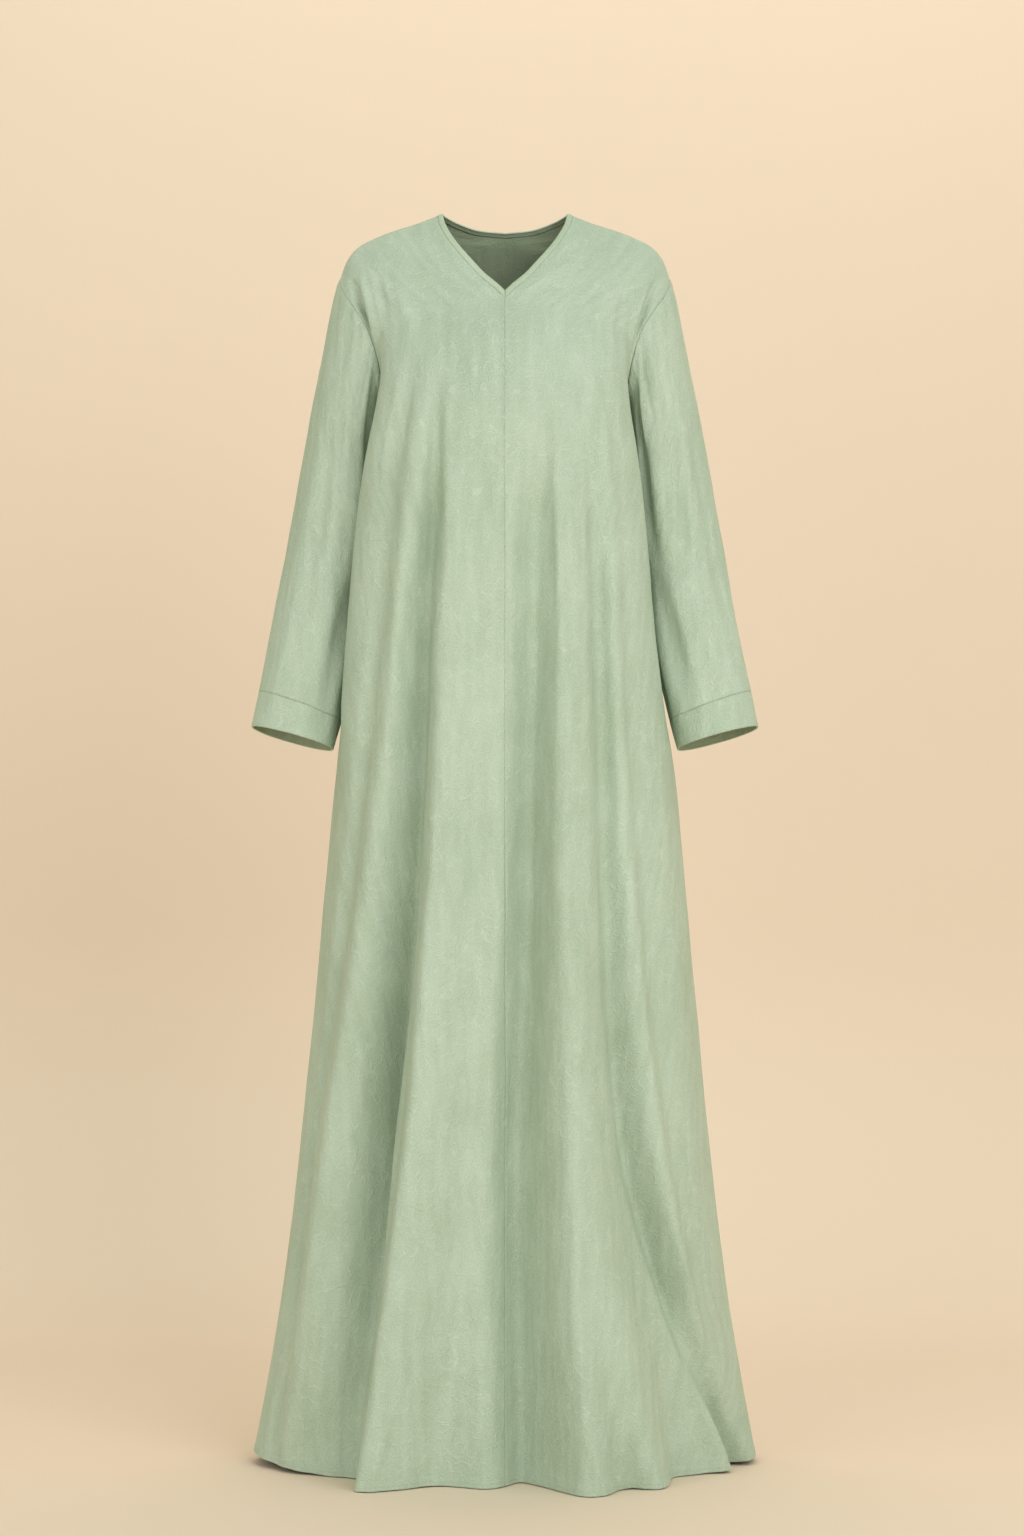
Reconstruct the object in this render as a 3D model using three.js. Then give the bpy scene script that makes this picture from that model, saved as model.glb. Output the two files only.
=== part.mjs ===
// Full-length prayer dress, worn: A-line body of two fronts and a back, V neck with a narrow
// mitred binding, long set-in sleeves on dropped shoulders, deep topstitched cuff hems.
// Millimetres, +Z up, the front faces -Y, the wearer's left is +X. The origin is the middle of
// the shoulder line, at the height of the neck points, and the hem hangs to z = -LENGTH.
// Every panel is a cloth wall: an outer sheet, the same sheet moved in by WALL, and its rim.
import * as THREE from 'three';

// ---- driving sizes ----
const LENGTH = 1524;          // neck point to hem
const WALL = 1.6;             // cloth wall
const HEM_WALL = 2.4;         // doubled cloth of the cuff hems
const BINDING_WIDTH = 7;
const BINDING_WALL = 2.4;
const BINDING_PROUD = 0.4;    // how far the binding stands above the panels
const SEAM_GAP = 0.25;        // each side of a seam draws back by this
const UNDERARM_Z = -236;
const CUFF_HEM_FROM = 0.905;  // share of the sleeve's length where the cuff hem starts
const CUFF_TILT = 6;          // the front of the cuff is higher by this, the back lower
const CHEST_EASE = -12;       // chest cloth lies this much nearer the body than its edges would lay it
const BACK_EASE = -4;

// ---- mesh density ----
const YOKE_ROWS = 10;         // shoulder seam to underarm
const SKIRT_ROWS = 16;        // underarm to hem
const HALF_COLS = 15;         // centre line to side seam
const NECK_ROWS_FRONT = 6;    // of the yoke rows, those that end on the V neck
const NECK_ROWS_BACK = 4;
const BUST_ROUND_UP = 3;      // rows above and below the underarm level that the bust rounds over
const BUST_ROUND_DOWN = 1;
const SLEEVE_ROWS = 11;
const CUFF_ROWS = 2;

// ---- the neck opening, from the point of the V round to the centre back ----
// nx, ny, nz: the way the cloth faces there
const NECK = [
  { x: 0, y: -78, z: -102, nx: 0, ny: -0.9, nz: 0.43 },
  { x: 8, y: -74, z: -94, nx: 0.02, ny: -0.9, nz: 0.43 },
  { x: 25, y: -65, z: -79, nx: 0.04, ny: -0.87, nz: 0.48 },
  { x: 39, y: -56, z: -63, nx: 0.06, ny: -0.83, nz: 0.55 },
  { x: 52.5, y: -46, z: -47, nx: 0.1, ny: -0.75, nz: 0.65 },
  { x: 63.5, y: -35, z: -31.5, nx: 0.18, ny: -0.62, nz: 0.76 },
  { x: 72.5, y: -19, z: -14, nx: 0.28, ny: -0.36, nz: 0.89 },
  { x: 76, y: 0, z: 0, nx: 0.33, ny: 0, nz: 0.94 },
  { x: 73, y: 24, z: 0, nx: 0.3, ny: 0.32, nz: 0.9 },
  { x: 59, y: 45, z: -5, nx: 0.2, ny: 0.58, nz: 0.79 },
  { x: 34, y: 60, z: -12, nx: 0.08, ny: 0.7, nz: 0.71 },
  { x: 0, y: 65, z: -15, nx: 0, ny: 0.72, nz: 0.69 },
];
const NECK_POINT_ROW = 7;     // the row of NECK on the shoulder seam

// ---- shoulder seam from the binding outwards, and the two halves of the armhole ----
const SHOULDER = [
  { x: 108, y: 2, z: -12 }, { x: 131, y: 3, z: -19 }, { x: 153, y: 4, z: -27 },
  { x: 180, y: 5, z: -41 }, { x: 193, y: 6, z: -57 }, { x: 200, y: 6, z: -76 },
];
const ARMHOLE_FRONT = [
  { x: 200, y: 6, z: -76 }, { x: 200, y: -15, z: -88 }, { x: 193, y: -33, z: -104 },
  { x: 181, y: -45, z: -121 }, { x: 165, y: -53, z: -147 }, { x: 154, y: -54, z: -181 },
  { x: 148, y: -41, z: -211 }, { x: 140, y: 12, z: -236 },
];
const ARMHOLE_BACK = [
  { x: 200, y: 6, z: -76 }, { x: 198, y: 30, z: -90 }, { x: 188, y: 54, z: -118 },
  { x: 173, y: 70, z: -150 }, { x: 160, y: 74, z: -186 }, { x: 150, y: 56, z: -220 },
  { x: 140, y: 12, z: -236 },
];

// ---- the centre lines between the neck seam and the underarm level ----
const CENTRE_FRONT = [{ y: -107, z: -150 }, { y: -126, z: -190 }];
const CENTRE_BACK = [{ y: 85, z: -48 }, { y: 98, z: -92 }, { y: 106, z: -145 }, { y: 108, z: -195 }];

// ---- level sections of the body below the underarm ----
// front, back: centre lines; edge: where the front turns to the side; side: the side seam, tucked
// in behind the sleeve; blade: where the side turns to the back; nF, nB: how square the front and
// back are; shift: how far the section leans to the wearer's right
const SECTIONS = [
  { z: -236, front: -138, edgeX: 150, edgeY: -66, sideX: 140, sideY: 12, bladeX: 147, bladeY: 62, back: 108, nF: 2.3, nB: 2.4, shift: 2 },
  { z: -300, front: -143, edgeX: 164, edgeY: -62, sideX: 137, sideY: 18, bladeX: 149, bladeY: 80, back: 113, nF: 2.2, nB: 2.4, shift: 4 },
  { z: -400, front: -146, edgeX: 176, edgeY: -56, sideX: 146, sideY: 22, bladeX: 157, bladeY: 88, back: 119, nF: 2.1, nB: 2.3, shift: 5 },
  { z: -500, front: -148, edgeX: 185, edgeY: -53, sideX: 162, sideY: 24, bladeX: 170, bladeY: 90, back: 124, nF: 2.0, nB: 2.2, shift: 5 },
  { z: -592, front: -150, edgeX: 194, edgeY: -50, sideX: 184, sideY: 24, bladeX: 184, bladeY: 86, back: 129, nF: 2.0, nB: 2.1, shift: 3 },
  { z: -660, front: -151, edgeX: 200, edgeY: -42, sideX: 203, sideY: 23, bladeX: 196, bladeY: 80, back: 133, nF: 2.0, nB: 2.1, shift: 0 },
  { z: -835, front: -154, edgeX: 214, edgeY: -36, sideX: 221, sideY: 22, bladeX: 212, bladeY: 80, back: 143, nF: 1.9, nB: 2.0, shift: -1 },
  { z: -1000, front: -157, edgeX: 227, edgeY: -33, sideX: 236, sideY: 23, bladeX: 226, bladeY: 84, back: 153, nF: 1.8, nB: 1.95, shift: -1 },
  { z: -1200, front: -160, edgeX: 247, edgeY: -30, sideX: 257, sideY: 24, bladeX: 247, bladeY: 90, back: 166, nF: 1.65, nB: 1.85, shift: 0 },
  { z: -1323, front: -165, edgeX: 262, edgeY: -26, sideX: 273, sideY: 25, bladeX: 262, bladeY: 92, back: 176, nF: 1.6, nB: 1.8, shift: 1 },
  { z: -1420, front: -168, edgeX: 274, edgeY: -22, sideX: 289, sideY: 27, bladeX: 274, bladeY: 92, back: 186, nF: 1.46, nB: 1.75, shift: 2 },
  { z: -LENGTH, front: -166, edgeX: 290, edgeY: -14, sideX: 307, sideY: 32, bladeX: 290, bladeY: 94, back: 200, nF: 1.3, nB: 1.7, shift: 3 },
];

// ---- the folds that hang from the bust and the shoulder blades ----
// x1..x4 and d1..d4: where each runs and how far it stands out (+) or in (-) at FOLD_LEVELS;
// inner, outer: its width at the hem towards the centre line and towards the side
const FOLD_LEVELS = [-400, -800, -1150, -LENGTH];
const FOLD_START = -285;
const FOLD_NARROW = 0.62;     // share of the hem's fold widths at the top level
// how far the hem rides up off the floor towards the side seams, and from how high up it starts to
const HEM_LIFT_FROM = -1380;
const HEM_LIFT = [
  { x: -307, lift: 13 }, { x: -284, lift: 8 }, { x: -245, lift: 3 }, { x: -205, lift: 0 },
  { x: 215, lift: 0 }, { x: 292, lift: 4 }, { x: 307, lift: 6 },
];
const FRONT_FOLDS = [
  { x1: -67, x2: -79, x3: -102, x4: -142, d1: 10, d2: 29, d3: 53, d4: 76, inner: 84, outer: 34 },
  { x1: -93, x2: -115, x3: -152, x4: -190, d1: -20, d2: -38, d3: -56, d4: -6, inner: 28, outer: 48 },
  { x1: -114, x2: -157, x3: -206, x4: -262, d1: 8, d2: 14, d3: 21, d4: 3, inner: 40, outer: 40 },
  { x1: -142, x2: -186, x3: -236, x4: -282, d1: -3, d2: -6, d3: -7, d4: -4, inner: 26, outer: 24 },
  { x1: 38, x2: 31, x3: 18, x4: 30, d1: -19, d2: -33, d3: -45, d4: -42, inner: 58, outer: 38 },
  { x1: 65, x2: 67, x3: 70, x4: 75, d1: 9, d2: 30, d3: 54, d4: 79, inner: 44, outer: 100 },
  { x1: 100, x2: 104, x3: 112, x4: 155, d1: 1, d2: 2, d3: 5, d4: 58, inner: 50, outer: 60 },
  { x1: 108, x2: 120, x3: 153, x4: 282, d1: -7, d2: -15, d3: -24, d4: -28, inner: 30, outer: 32 },
  { x1: 128, x2: 146, x3: 184, x4: 262, d1: 4, d2: 9, d3: 15, d4: 14, inner: 28, outer: 28 },
];
const BACK_FOLDS = [
  { x1: -150, x2: -172, x3: -206, x4: -238, d1: 3, d2: 7, d3: 12, d4: 16, inner: 50, outer: 46 },
  { x1: -104, x2: -122, x3: -150, x4: -176, d1: -6, d2: -13, d3: -20, d4: -26, inner: 44, outer: 40 },
  { x1: -58, x2: -66, x3: -84, x4: -98, d1: 4, d2: 10, d3: 17, d4: 26, inner: 54, outer: 46 },
  { x1: -8, x2: -14, x3: -22, x4: -26, d1: -6, d2: -12, d3: -19, d4: -24, inner: 52, outer: 48 },
  { x1: 44, x2: 50, x3: 56, x4: 62, d1: 4, d2: 11, d3: 19, d4: 30, inner: 50, outer: 54 },
  { x1: 96, x2: 110, x3: 132, x4: 152, d1: -6, d2: -14, d3: -22, d4: -28, inner: 42, outer: 46 },
  { x1: 142, x2: 164, x3: 196, x4: 222, d1: 3, d2: 8, d3: 12, d4: 17, inner: 44, outer: 48 },
];

// ---- rings of the left sleeve, shoulder to wrist ----
// at: share of its length; xo, zo and xi, zi: the outermost and innermost points; y: the middle;
// depth: half its size front to back; n: how square
const RINGS = [
  { at: 0, xo: 200, zo: -76, xi: 140, zi: -236, y: 12, depth: 64, n: 2 },
  { at: 0.05, xo: 207, zo: -98, xi: 147, zi: -249, y: 13, depth: 65, n: 2 },
  { at: 0.15, xo: 219, zo: -155, xi: 150.5, zi: -288, y: 14, depth: 64, n: 2 },
  { at: 0.3, xo: 234.5, zo: -231, xi: 153, zi: -345, y: 15, depth: 61, n: 2 },
  { at: 0.45, xo: 251, zo: -320, xi: 158, zi: -411, y: 15, depth: 57, n: 2 },
  { at: 0.6, xo: 267, zo: -408, xi: 168.5, zi: -478, y: 11, depth: 54, n: 2.05 },
  { at: 0.75, xo: 282, zo: -492, xi: 182.5, zi: -545, y: 4, depth: 52, n: 2.1 },
  { at: 0.88, xo: 297, zo: -570, xi: 197, zi: -607, y: -4, depth: 51, n: 2.1 },
  { at: 1, xo: 307.5, zo: -626, xi: 209, zi: -653, y: -11, depth: 51, n: 2.1 },
];
// turn: degrees round the sleeve, 0 the outside, 90 the front; turnEnd: where the fold ends
const SLEEVE_FOLDS = [
  { turn: 128, turnEnd: 112, from: 0.02, to: 0.4, depth: -6, width: 26 },
  { turn: 70, turnEnd: 84, from: 0.12, to: 0.62, depth: -3.5, width: 30 },
  { turn: 262, turnEnd: 280, from: 0.04, to: 0.5, depth: -6, width: 32 },
  { turn: 150, turnEnd: 120, from: 0.45, to: 0.86, depth: -4, width: 26 },
  { turn: 230, turnEnd: 300, from: 0.5, to: 0.9, depth: -4.5, width: 30 },
];

// ---- small helpers ----
const V = (x, y, z) => new THREE.Vector3(x, y, z);
const mix = (a, b, t) => a + (b - a) * t;
const clamp01 = (t) => Math.min(1, Math.max(0, t));
const ease = (t) => { const c = clamp01(t); return c * c * (3 - 2 * c); };
const hump = (t) => (Math.abs(t) < 1 ? 0.5 + 0.5 * Math.cos(Math.PI * t) : 0);

// the value of column `name` at `at`, smoothly through a table's rows ordered by column `key`
function column(table, key, at, name) {
  const dir = Math.sign(table[table.length - 1][key] - table[0][key]);
  let i = 0;
  while (i < table.length - 2 && dir * (at - table[i + 1][key]) > 0) i += 1;
  const slope = (j) => {
    const a = table[Math.max(0, j - 1)], b = table[Math.min(table.length - 1, j + 1)];
    return (b[name] - a[name]) / (b[key] - a[key]);
  };
  const p = table[i], q = table[i + 1], h = q[key] - p[key], t = clamp01((at - p[key]) / h);
  const t2 = t * t, t3 = t2 * t;
  return (2 * t3 - 3 * t2 + 1) * p[name] + (t3 - 2 * t2 + t) * h * slope(i)
    + (3 * t2 - 2 * t3) * q[name] + (t3 - t2) * h * slope(i + 1);
}

// a smooth dense line through points; marks are the indices of the given points on it
function smoothLine(points, closed = false, per = 10) {
  const n = points.length, out = [], marks = [];
  const at = (i) => points[closed ? (i + n) % n : Math.min(n - 1, Math.max(0, i))];
  for (let i = 0; i < (closed ? n : n - 1); i += 1) {
    const p0 = at(i - 1), p1 = at(i), p2 = at(i + 1), p3 = at(i + 2);
    const k1 = Math.sqrt(p0.distanceTo(p1)) || 1e-6, k2 = Math.sqrt(p1.distanceTo(p2)) || 1e-6, k3 = Math.sqrt(p2.distanceTo(p3)) || 1e-6;
    const tangent = (a, b, c, ka, kb, end) => (end ? c.clone().sub(b).divideScalar(kb)
      : b.clone().sub(a).divideScalar(ka).sub(c.clone().sub(a).divideScalar(ka + kb)).add(c.clone().sub(b).divideScalar(kb)));
    const m1 = (p0 === p1 ? p2.clone().sub(p1) : tangent(p0, p1, p2, k1, k2).multiplyScalar(k2));
    const m2 = (p2 === p3 ? p2.clone().sub(p1) : tangent(p1, p2, p3, k2, k3).multiplyScalar(k2));
    marks.push(out.length);
    for (let s = 0; s < per; s += 1) {
      const t = s / per, t2 = t * t, t3 = t2 * t;
      out.push(p1.clone().multiplyScalar(2 * t3 - 3 * t2 + 1).addScaledVector(m1, t3 - 2 * t2 + t)
        .addScaledVector(p2, 3 * t2 - 2 * t3).addScaledVector(m2, t3 - t2));
    }
  }
  if (!closed) { marks.push(out.length); out.push(points[n - 1].clone()); }
  return { line: out, marks };
}

// count + 1 points evenly along a line
function evenly(line, count) {
  const along = [0];
  for (let i = 1; i < line.length; i += 1) along.push(along[i - 1] + line[i].distanceTo(line[i - 1]));
  const total = along[along.length - 1], out = [];
  let j = 0;
  for (let k = 0; k <= count; k += 1) {
    const want = (total * k) / count;
    while (j < line.length - 2 && along[j + 1] < want) j += 1;
    const t = clamp01((want - along[j]) / (along[j + 1] - along[j] || 1));
    out.push(line[j].clone().lerp(line[j + 1], t));
  }
  return out;
}

// ---- neck: the opening edge and the seam one binding width outside it ----
const neckRow = (r) => V(r.x, r.y, r.z);
function neckSeam(i) {
  const r = NECK[i], face = V(r.nx, r.ny, r.nz).normalize();
  if (i === 0) {                                  // mitre at the point of the V
    const side = neckRow(NECK[1]).sub(neckRow(NECK[0])).normalize();
    const half = Math.acos(clamp01(V(0, face.z, -face.y).dot(side)));
    return neckRow(r).add(V(0, -face.z, face.y).multiplyScalar(Math.min(BINDING_WIDTH / Math.sin(half), 1.7 * BINDING_WIDTH)));
  }
  const next = neckRow(NECK[Math.min(NECK.length - 1, i + 1)]), last = neckRow(NECK[i - 1]);
  const tangent = (i === NECK.length - 1) ? V(-1, 0, 0) : next.sub(last).normalize();
  return neckRow(r).addScaledVector(tangent.cross(face).negate().normalize(), -BINDING_WIDTH);
}
const neckIn = NECK.map(neckRow), neckOut = NECK.map((r, i) => neckSeam(i));
const span = (points, a, b) => points.slice(a, b + 1);
const NP = NECK_POINT_ROW, NL = NECK.length - 1;
// from the shoulder seam to the point of the V, and from the shoulder seam to the centre back
const neck = {
  frontOut: evenly(smoothLine(span(neckOut, 0, NP)).line, NECK_ROWS_FRONT).reverse(),
  frontIn: evenly(smoothLine(span(neckIn, 0, NP)).line, NECK_ROWS_FRONT).reverse(),
  backOut: evenly(smoothLine(span(neckOut, NP, NL)).line, NECK_ROWS_BACK),
  backIn: evenly(smoothLine(span(neckIn, NP, NL)).line, NECK_ROWS_BACK),
};

// ---- one level section: the front line from the right side seam to the left, and the back line ----
function section(z) {
  const s = {};
  for (const name of Object.keys(SECTIONS[0])) s[name] = name === 'z' ? z : column(SECTIONS, 'z', z, name);
  const quarter = (edgeX, edgeY, centre, n) => [0, 22.5, 45, 67.5, 90].map((deg) => {
    const a = (deg * Math.PI) / 180;
    return V(edgeX * Math.sin(a) ** (2 / n), edgeY + (centre - edgeY) * Math.cos(a) ** (2 / n), z);
  });
  const half = [...quarter(s.edgeX, s.edgeY, s.front, s.nF), V(s.sideX, s.sideY, z),
    ...quarter(s.bladeX, s.bladeY, s.back, s.nB).reverse()];
  const mirror = half.slice(1, -1).reverse().map((p) => V(-p.x, p.y, z));
  const { line, marks } = smoothLine([...half, ...mirror], true, 12);
  for (const p of line) p.x -= ((s.shift * Math.abs(p.x)) / s.edgeX) * clamp01(p.y / s.edgeY);
  const sideLeft = marks[5], sideRight = marks[15];
  const front = [...line.slice(sideRight), ...line.slice(0, sideLeft + 1)];
  const back = line.slice(sideLeft, sideRight + 1);
  return { front, back, frontMid: line.length - sideRight, backMid: marks[10] - sideLeft };
}

function foldColumn(fold, letter, z) {
  const table = FOLD_LEVELS.map((level, i) => ({ level, value: fold[letter + (i + 1)] }));
  if (z > FOLD_LEVELS[0]) {
    const slope = (table[1].value - table[0].value) / (FOLD_LEVELS[1] - FOLD_LEVELS[0]);
    return letter === 'x' ? table[0].value + slope * (z - FOLD_LEVELS[0])
      : table[0].value * ease((FOLD_START - z) / (FOLD_START - FOLD_LEVELS[0]));
  }
  return column(table, 'level', z, 'value');
}

// moves a section's line out and in by its folds; middle is the index of its centre line
function folded(line, middle, folds, z) {
  if (z > FOLD_START) return line;
  const along = [0];
  for (let i = 1; i < line.length; i += 1) along.push(along[i - 1] + line[i].distanceTo(line[i - 1]));
  const total = along[along.length - 1], wide = mix(1, FOLD_NARROW, clamp01((z + LENGTH) / (FOLD_LEVELS[0] + LENGTH)));
  const push = line.map(() => 0);
  for (const fold of folds) {
    const x = foldColumn(fold, 'x', z), depth = foldColumn(fold, 'd', z);
    let best = middle;
    for (let i = 0; i < line.length; i += 1) if (Math.abs(line[i].x - x) < Math.abs(line[best].x - x) && Math.sign(line[i].x - line[middle].x) === Math.sign(x)) best = i;
    const flip = Math.sign(x) * Math.sign(line[line.length - 1].x - line[0].x);
    line.forEach((p, i) => {
      const away = (along[i] - along[best]) * flip;
      push[i] += depth * hump(away / ((away > 0 ? fold.outer : fold.inner) * wide));
    });
  }
  return line.map((p, i) => {
    const a = line[Math.max(0, i - 1)], b = line[Math.min(line.length - 1, i + 1)];
    const out = V(b.y - a.y, a.x - b.x, 0).normalize();
    const nearSeam = ease(Math.min(along[i], total - along[i]) / 45);
    return p.clone().addScaledVector(out, push[i] * nearSeam);
  });
}

// ---- body grids: [row][column], column 0 on the centre line, the last on the armhole or side seam ----
const armFront = evenly(smoothLine(ARMHOLE_FRONT.map((r) => V(r.x, r.y, r.z))).line, YOKE_ROWS);
const armBack = evenly(smoothLine(ARMHOLE_BACK.map((r) => V(r.x, r.y, r.z))).line, YOKE_ROWS);
const shoulder = smoothLine([neckOut[NP], ...SHOULDER.map((r) => V(r.x, r.y, r.z))]).line;
const mirrored = (p, side) => V(side * p.x, p.y, p.z);

function halfBody(side, isFront) {
  const heights = [];
  for (let k = 0; k <= SKIRT_ROWS; k += 1) heights.push(mix(UNDERARM_Z, -LENGTH, k / SKIRT_ROWS));
  const levelRow = (z) => {
    const s = section(z);
    const line = isFront ? folded(s.front, s.frontMid, FRONT_FOLDS, z) : folded(s.back, s.backMid, BACK_FOLDS, z);
    const mid = isFront ? s.frontMid : s.backMid;
    line.forEach((p) => { p.z += Math.max(0, column(HEM_LIFT, 'x', p.x, 'lift')) * ease((HEM_LIFT_FROM - z) / (HEM_LIFT_FROM + LENGTH)); });
    const toLeft = line[line.length - 1].x > 0;
    const part = (side > 0) === toLeft ? line.slice(mid) : line.slice(0, mid + 1).reverse();
    return evenly(part, HALF_COLS);
  };
  const skirt = heights.map(levelRow);
  skirt[0][HALF_COLS] = mirrored(armFront[YOKE_ROWS], side);
  // the yoke is a patch between the shoulder seam, neck and centre line, armhole and underarm row
  const neckRows = isFront ? NECK_ROWS_FRONT : NECK_ROWS_BACK;
  const seam = isFront ? neck.frontOut : neck.backOut;
  const centre = [seam[neckRows], ...(isFront ? CENTRE_FRONT : CENTRE_BACK).map((r) => V(0, r.y, r.z)), skirt[0][0]];
  const inner = [...seam, ...evenly(smoothLine(centre).line, YOKE_ROWS - neckRows).slice(1)];
  const outer = (isFront ? armFront : armBack).map((p) => mirrored(p, side));
  const top = evenly(shoulder, HALF_COLS).map((p) => mirrored(p, side));
  const bottom = skirt[0];
  const rows = [];
  for (let j = 0; j < YOKE_ROWS; j += 1) {
    const v = j / YOKE_ROWS, row = [];
    const a = mirrored(inner[j], side), b = outer[j];
    for (let i = 0; i <= HALF_COLS; i += 1) {
      const u = i / HALF_COLS;
      const corners = top[0].clone().multiplyScalar((1 - u) * (1 - v)).addScaledVector(top[HALF_COLS], u * (1 - v))
        .addScaledVector(bottom[0], (1 - u) * v).addScaledVector(bottom[HALF_COLS], u * v);
      const p = top[i].clone().multiplyScalar(1 - v).addScaledVector(bottom[i], v)
        .addScaledVector(a, 1 - u).addScaledVector(b, u).sub(corners);
      p.y += (isFront ? -1 : 1) * (isFront ? CHEST_EASE : BACK_EASE) * Math.sin(Math.PI * u) * Math.sin(Math.PI * v);
      row.push(i === 0 ? a : i === HALF_COLS ? b : j === 0 ? top[i] : p);
    }
    rows.push(row);
  }
  const all = [...rows, ...skirt];
  // the bust and the shoulder blades are rounded: rows near the underarm level follow their neighbours
  const from = YOKE_ROWS - BUST_ROUND_UP, to = YOKE_ROWS + BUST_ROUND_DOWN;
  for (let i = 0; i < HALF_COLS; i += 1) {
    const keep = (i / HALF_COLS) ** 6, a = all[from][i], b = all[to][i], size = a.distanceTo(b);
    const m1 = a.clone().sub(all[from - 1][i]).normalize().multiplyScalar(size);
    const m2 = all[to + 1][i].clone().sub(b).normalize().multiplyScalar(size);
    for (let j = from + 1; j < to; j += 1) {
      const t = a.distanceTo(all[j][i]) / (a.distanceTo(all[j][i]) + b.distanceTo(all[j][i])), t2 = t * t, t3 = t2 * t;
      const round = a.clone().multiplyScalar(2 * t3 - 3 * t2 + 1).addScaledVector(m1, t3 - 2 * t2 + t)
        .addScaledVector(b, 3 * t2 - 2 * t3).addScaledVector(m2, t3 - t2);
      if (i === 0) round.x = 0;
      all[j][i] = round.lerp(all[j][i], keep);
    }
  }
  return all;
}

// ---- sleeve grid: [row][column round], column 0 at the shoulder seam, then down the front ----
function ringPoint(at, turn) {
  const r = {};
  for (const name of Object.keys(RINGS[0])) r[name] = column(RINGS, 'at', at, name);
  const c = Math.cos(turn), s = Math.sin(turn), k = 2 / r.n;
  const across = Math.sign(c) * Math.abs(c) ** k, deep = Math.sign(s) * Math.abs(s) ** k;
  const p = V(mix(r.xi, r.xo, 0.5 + 0.5 * across), r.y - r.depth * deep, mix(r.zi, r.zo, 0.5 + 0.5 * across) + CUFF_TILT * at * at * deep);
  const centre = V((r.xi + r.xo) / 2, r.y, (r.zi + r.zo) / 2);
  const out = p.clone().sub(centre), size = out.length();
  out.normalize();
  for (const f of SLEEVE_FOLDS) {
    if (at <= f.from || at >= f.to) continue;
    const t = (at - f.from) / (f.to - f.from);
    const middle = (mix(f.turn, f.turnEnd, t) * Math.PI) / 180;
    const away = Math.atan2(Math.sin(turn - middle), Math.cos(turn - middle)) * size;
    p.addScaledVector(out, f.depth * hump(away / f.width) * Math.sin(Math.PI * t));
  }
  return p;
}
const loop = [...armFront.slice(0, YOKE_ROWS), ...armBack.slice(1).reverse()];
const turns = loop.map((p, i) => (i <= YOKE_ROWS ? (Math.PI * i) / YOKE_ROWS : Math.PI * (1 + (i - YOKE_ROWS) / YOKE_ROWS)));
function sleeveRow(at, side) {
  const settle = 1 - ease(at / 0.3);
  return loop.map((p, i) => mirrored(ringPoint(at, turns[i]).add(p.clone().sub(ringPoint(0, turns[i])).multiplyScalar(settle)), side));
}
function sleeveGrid(side, from, to, rows) {
  const out = [];
  for (let k = 0; k <= rows; k += 1) out.push(sleeveRow(mix(from, to, k / rows), side));
  return out;
}

// ---- binding: a strip of short cross rows, from the mitre round the neck and back to it ----
function bindingRows() {
  const right = [], add = (o, i, side) => [mirrored(o, side), mirrored(o.clone().lerp(i, 0.5), side), mirrored(i, side)];
  for (let k = NECK_ROWS_FRONT; k >= 0; k -= 1) right.push(add(neck.frontOut[k], neck.frontIn[k], 1));
  for (let k = 1; k <= NECK_ROWS_BACK; k += 1) right.push(add(neck.backOut[k], neck.backIn[k], 1));
  const left = right.slice(0, -1).reverse().map((row) => row.map((p) => V(-p.x, p.y, p.z)));
  return [...right, ...left];
}

// ---- sheets: welded points and triangles facing out ----
const keyOf = (p) => `${Math.round(p.x * 500)},${Math.round(p.y * 500)},${Math.round(p.z * 500)}`;
function sheet(name, grids, options = {}) {
  const points = [], index = new Map(), tris = [];
  const id = (p) => {
    const key = keyOf(p) + (options.mitre && Math.abs(p.x) < 1e-6 && p.y < 0 ? Math.sign(p.side || 1) : '');
    if (!index.has(key)) { index.set(key, points.length); points.push(p.clone()); }
    return index.get(key);
  };
  for (const { rows, around, flip } of grids) {
    const cols = rows[0].length;
    for (let j = 0; j < rows.length - 1; j += 1) {
      for (let i = 0; i < (around ? cols : cols - 1); i += 1) {
        const q = [rows[j][i], rows[j + 1][i], rows[j + 1][(i + 1) % cols], rows[j][(i + 1) % cols]].map(id);
        const diagonal = points[q[0]].distanceTo(points[q[2]]) <= points[q[1]].distanceTo(points[q[3]]);
        const pair = diagonal ? [[q[0], q[1], q[2]], [q[0], q[2], q[3]]] : [[q[0], q[1], q[3]], [q[1], q[2], q[3]]];
        for (const t of pair) if (new Set(t).size === 3) tris.push(flip ? [t[0], t[2], t[1]] : t);
      }
    }
  }
  const normals = points.map(() => V(0, 0, 0));
  for (const [a, b, c] of tris) {
    const n = points[b].clone().sub(points[a]).cross(points[c].clone().sub(points[a]));
    for (const i of [a, b, c]) normals[i].add(n);
  }
  normals.forEach((n) => n.normalize());
  return { name, points, tris, normals, wall: WALL, proud: 0, ...options };
}

function boundary(tris) {
  const seen = new Map();
  for (const t of tris) for (let k = 0; k < 3; k += 1) seen.set(`${t[k]}_${t[(k + 1) % 3]}`, [t[k], t[(k + 1) % 3]]);
  return [...seen.values()].filter(([a, b]) => !seen.has(`${b}_${a}`));
}

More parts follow.
